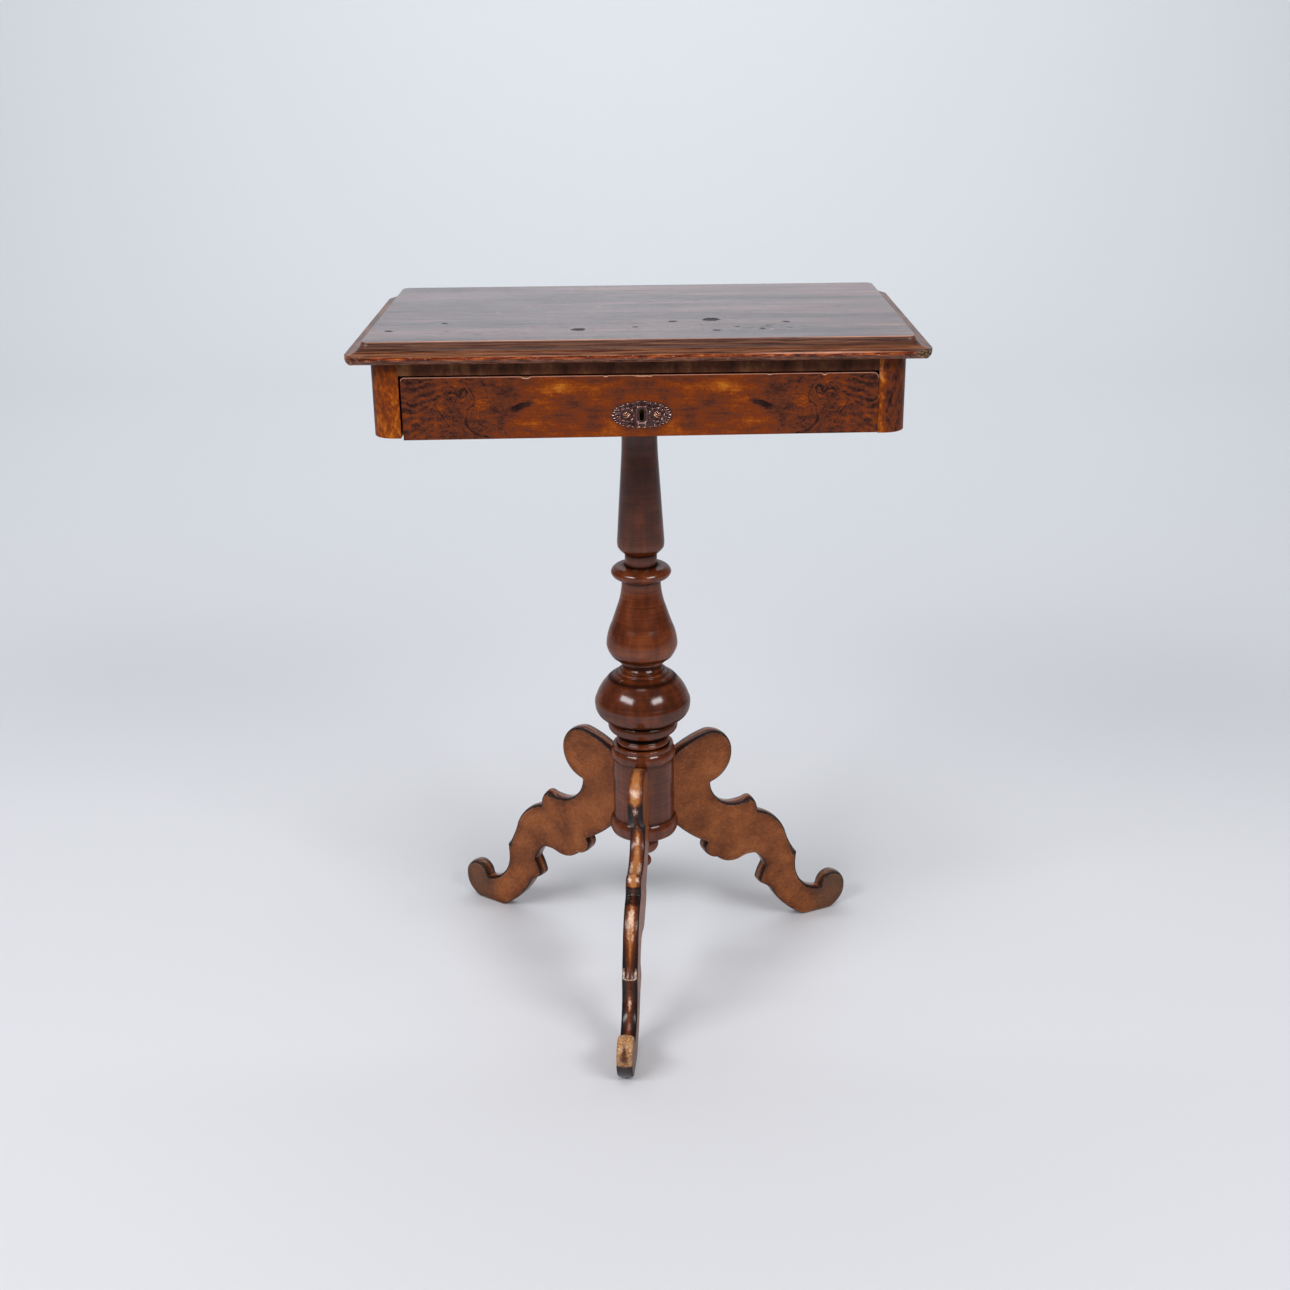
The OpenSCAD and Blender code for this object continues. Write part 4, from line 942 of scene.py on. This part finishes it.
# Chips in the upper edge, as place along it, half width and depth.
CHIPS = [(-106.5, 3.6, 1.5), (-103, 2, 1.0), (-31, 2.5, 0.8), (3, 8, 0.7), (11, 2, 0.7), (123, 3, 0.6),
         (174.5, 2.2, 1.5)]
ARRIS, EASED = 0.9, 0.3
NO_GAP = 99.0


def eased(gap, radius):
    """How far a quarter-round edge falls back at a distance from it."""
    return radius - np.sqrt(np.clip(radius ** 2 - np.clip(radius - gap, 0, radius) ** 2, 0, None))


def make_veneers():
    """Two halves of the drawer front's face, each a fine grid that carries the figure. The lower edge
    slopes; the upper edge has chips, one round corner and a rubbed arris; the keyhole's outline pushes
    the grid's lines aside."""
    down = np.concatenate([[0, 0.08, 0.25, 0.5, 0.9], np.linspace(1.4, 58.4, 115),
                           [59, 59.3, 59.6, 59.8, 59.9]])[:, None] / 59.9
    for name, node, x0, x1, r, sign in [("face_left", "veneer_left", FRONT_X0, SEAM_X, 3.5, -1),
                                        ("face_right", "veneer_right", SEAM_X, veneer_r_high[0], 5.5, 1)]:
        t = np.linspace(0, QUARTER, 14)[:-1]
        side = np.concatenate([r * (1 - np.cos(t)), np.linspace(r, x1 - x0, int((x1 - x0 - r) / 0.5))])
        x = x1 - side if sign > 0 else x0 + side
        ceiling = FRONT_Z1 - eased(side, r)
        for at, wide, deep in CHIPS:
            ceiling -= deep * unit(1 - ((x - at) / wide) ** 2) ** 0.7
        floor = FRONT_Z0 + FRONT_RISE * (x - FRONT_X0)
        z = ceiling + (floor - ceiling) * down
        up = (z[:, -1:] - KEY_Z) / (KEY_H / 2)
        notch = KEY_R * np.where(up > 0, np.sqrt(unit(1 - up ** 2)), 0.8) * (np.abs(up) < 1)
        x = x + sign * notch * unit(1 - np.abs(x - SEAM_X) / 14)
        side = side + 0 * z
        arc = np.where(side < r, r - np.hypot(r - side, z - FRONT_Z1 + r), NO_GAP)
        top_gap = np.where((side < r) & (z > FRONT_Z1 - r), np.clip(arc, 0, NO_GAP), ceiling - z)
        back = eased(top_gap, ARRIS) + eased(z - floor, EASED) + eased(side, EASED)
        chipped = 1 + unit((FRONT_Z1 - ceiling) * (side > r) * 1.6)
        wear = unit(1.25 - top_gap / 0.75) * chipped
        y, tone = VENEER_Y + np.clip(back, 0, ARRIS), burr_figure(np.abs(x - SEAM_X), z)
        grid = np.stack([x, y, z, tone, wear], axis=2)[:, ::-sign]
        rows, columns = z.shape
        number = np.arange(z.size).reshape(rows, columns)
        rim = np.concatenate([number[0, :-1], number[:-1, -1], number[-1, :0:-1], number[:0:-1, 0]])
        flat = grid.reshape(-1, 5)
        back_rim = flat[rim]
        back_rim[:, 1] = VENEER_BACK
        start, n = z.size, len(rim)
        sides = [[rim[i], start + i, start + (i + 1) % n, rim[(i + 1) % n]] for i in range(n)]
        faces = quads(rows, columns) + sides + [list(range(start, start + n))]
        points = np.concatenate([flat, back_rim])
        make_piece(name, points[:, :3], faces, "drawer", node, BURR, 40,
                   {"tone": points[:, 3], "wear": points[:, 4]})


# Leaves of the keyhole plate, as lean, half length, half width and place across.
LEAVES = [(0.6, 3.6, 0.5, -2.0), (0.55, 3.6, 0.5, 0.0), (0.65, 2.6, 0.5, 1.9)]
BEADS = 34
SCALLOPS = 22


def make_plate():
    """Stamped keyhole plate: a grid from the keyhole's outline to the scalloped rim, with a beaded
    rim, a frame round the keyhole, and three bent leaves in a lobed oval on each side."""
    t = np.linspace(0, 2 * math.pi, 480, endpoint=False)
    c, s = np.cos(t), np.sin(t)
    wave = 1 + 0.02 * np.cos(SCALLOPS * t)
    ox = PLATE_W / 2 * np.sign(c) * np.abs(c) ** 0.87 * wave
    oz = PLATE_H / 2 * np.sign(s) * np.abs(s) ** 0.87 * wave
    oz += 1.6 * unit(1 - np.abs(np.degrees(t) - 90) / 10)
    hx = KEY_R * c * np.where(s < 0.3, 0.8, 1)
    hz = KEY_H / 2 * np.where(s > 0, s, np.sign(s) * np.abs(s) ** 0.4)
    k = np.linspace(0, 1, 90)[:, None]
    x, z = hx * (1 - k) + ox * k, hz * (1 - k) + oz * k
    rim = hump(k - 0.93, 0.05) * (0.4 + 0.75 * np.cos(BEADS * t))
    inner_rim = 0.6 * hump(k - 0.81 - 0.012 * np.cos(SCALLOPS * t), 0.03)
    frame_round = (np.abs(x / 5.6) ** 4 + np.abs(z / 8.8) ** 4) ** 0.25
    ring = 0.7 * hump(frame_round - 0.9, 0.08)
    ring += 0.7 * hump(np.hypot(x / 1.3, z + 9.6) - 2.6, 0.5) * (z < -7.6)
    leaf = np.zeros_like(x)
    for side in (-1, 1):
        dx = x - side * PLATE_W * 0.25
        oval, turn = np.hypot(dx / 7.2, z / 6.6), np.arctan2(z, dx)
        ring += 0.75 * hump(oval - 0.98, 0.1) * (0.65 + 0.35 * np.cos(9 * turn))
        for lean, along, across, at in LEAVES:
            u = dx * math.cos(lean) - side * z * math.sin(lean)
            w = side * dx * math.sin(lean) + z * math.cos(lean) - at
            leaf += hump(u, along) * hump(w - 0.12 * u * u, across)
    scroll = 0.25 * ripple(x, z, (2.4, 2.4), 31, 2) * (k > 0.1) * (k < 0.86)
    height = 0.6 + 1.1 * rim + 0.7 * inner_rim + ring + 1.0 * leaf + scroll
    height[-1] = 0.5
    height = np.clip(height, 0.4, 1.85)
    grid = np.stack([SEAM_X + x, VENEER_Y - height, KEY_Z + z], axis=-1)
    grid = np.concatenate([grid[:1], grid, grid[-1:]])
    grid[0, :, 1] = VENEER_Y + 2.0
    grid[-1, :, 1] = VENEER_Y
    make_piece("keyhole_plate", grid, quads(len(grid), len(t), wrap=True), "drawer", "escutcheon",
               PLATE, 50, {"height": np.pad(height, ((1, 1), (0, 0)), constant_values=0.3),
                                          "leaf": np.pad(leaf, ((1, 1), (0, 0)), mode="edge")})


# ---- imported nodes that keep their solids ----

KEPT = {
    RAIL_DARK: ["front_rail"], WALNUT: ["drawer_front"], PLATE: ["escutcheon_pins"],
    PINE: ("bottom_board guide_left guide_right kicker_left kicker_right bearer drawer_side_left "
           "drawer_side_right drawer_back drawer_floor").split(),
    STEEL: ["top_screws", "bearer_screws", "lock_screws"], BRASS: ["lock_case", "lock_bolt"]}


def finish_kept_nodes():
    """Gives the nodes that stay their materials."""
    for material, names in KEPT.items():
        for name in names:
            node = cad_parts[name]
            node.data.materials.clear()
            node.data.materials.append(material)


# ---- studio, in metres ----

FLOOR_FRONT, FLOOR_BACK, BEND_R, WALL_TOP, HALF_WIDTH = -7.0, 3.2, 2.2, 6.0, 9.0

# Lights as place, the point they face, two sizes, watts and colour.
LIGHTS = {
    "softbox_left": ((-2.2, -2.0, 2.5), (0, 0, 0.45), (2.1, 0.75), 74, "#fdfcfe"),
    "softbox_right": ((2.0, -2.2, 2.4), (0, 0, 0.45), (1.6, 0.75), 55, "#fdfcfe"),
    "softbox_top": ((-0.1, -0.9, 2.9), (0, 0, 0.3), (0.9, 0.9), 10, "#fdfcfe"),
    "backdrop_light": ((0.0, 2.4, 4.4), (0, 5.4, 1.2), (6.0, 1.6), 151, "#f3faff")}


def make_studio():
    """A pale sheet that curves up from floor to backdrop, and soft lights. The air is brighter to the
    camera than to the wood, and dimmer still in what shines."""
    t = np.linspace(0, QUARTER, 40)
    y = np.concatenate([[FLOOR_FRONT], FLOOR_BACK + BEND_R * np.sin(t), [FLOOR_BACK + BEND_R]])
    z = np.concatenate([[0.0], BEND_R * (1 - np.cos(t)), [WALL_TOP]])
    points = np.array([[(-HALF_WIDTH, *p), (HALF_WIDTH, *p)] for p in zip(y, z)]).reshape(-1, 3)
    mesh = bpy.data.meshes.new("studio_sheet")
    mesh.from_pydata(points.tolist(), [], quads(len(y), 2))
    mesh.shade_smooth()
    mesh.materials.append(new_material("studio_floor").finished("#d8d9dc", 0.65))
    new_object("studio_sheet", mesh)

    air = Nodes(bpy.data.worlds.new("studio_air"))
    bpy.context.scene.world = air.owner
    bpy.context.scene.view_settings.view_transform = "Standard"
    path = air.add("LightPath").outputs
    strength = air.map(path["Is Camera Ray"], 0, 1, 0.34, 0.68)
    dimmed = air.times_plus(path["Is Glossy Ray"], -0.24, strength)
    background = air.tree.nodes["Background"].inputs
    background["Color"].default_value = linear("#f4f5f8")
    air.tree.links.new(dimmed.outputs[0], background["Strength"])

    for name, (place, aim, size, watts, code) in LIGHTS.items():
        light = bpy.data.lights.new(name, "AREA")
        light.shape = "RECTANGLE"
        light.size, light.size_y = size
        light.energy = watts
        light.color = linear(code)[:3]
        lamp = new_object(name, light)
        lamp.location = place
        lamp.rotation_euler = (Vector(aim) - Vector(place)).to_track_quat("-Z", "Y").to_euler()


make_camera()
moulded_top()
make_posts()
make_rails()
turned("turned_column", COLUMN_CORNERS, "column", 0.5, 0.3, 128)
turned("turned_drop", DROP_CORNERS, "finial", 0.6, 0.45, 64)
make_legs()
make_veneers()
make_plate()
finish_kept_nodes()
make_studio()
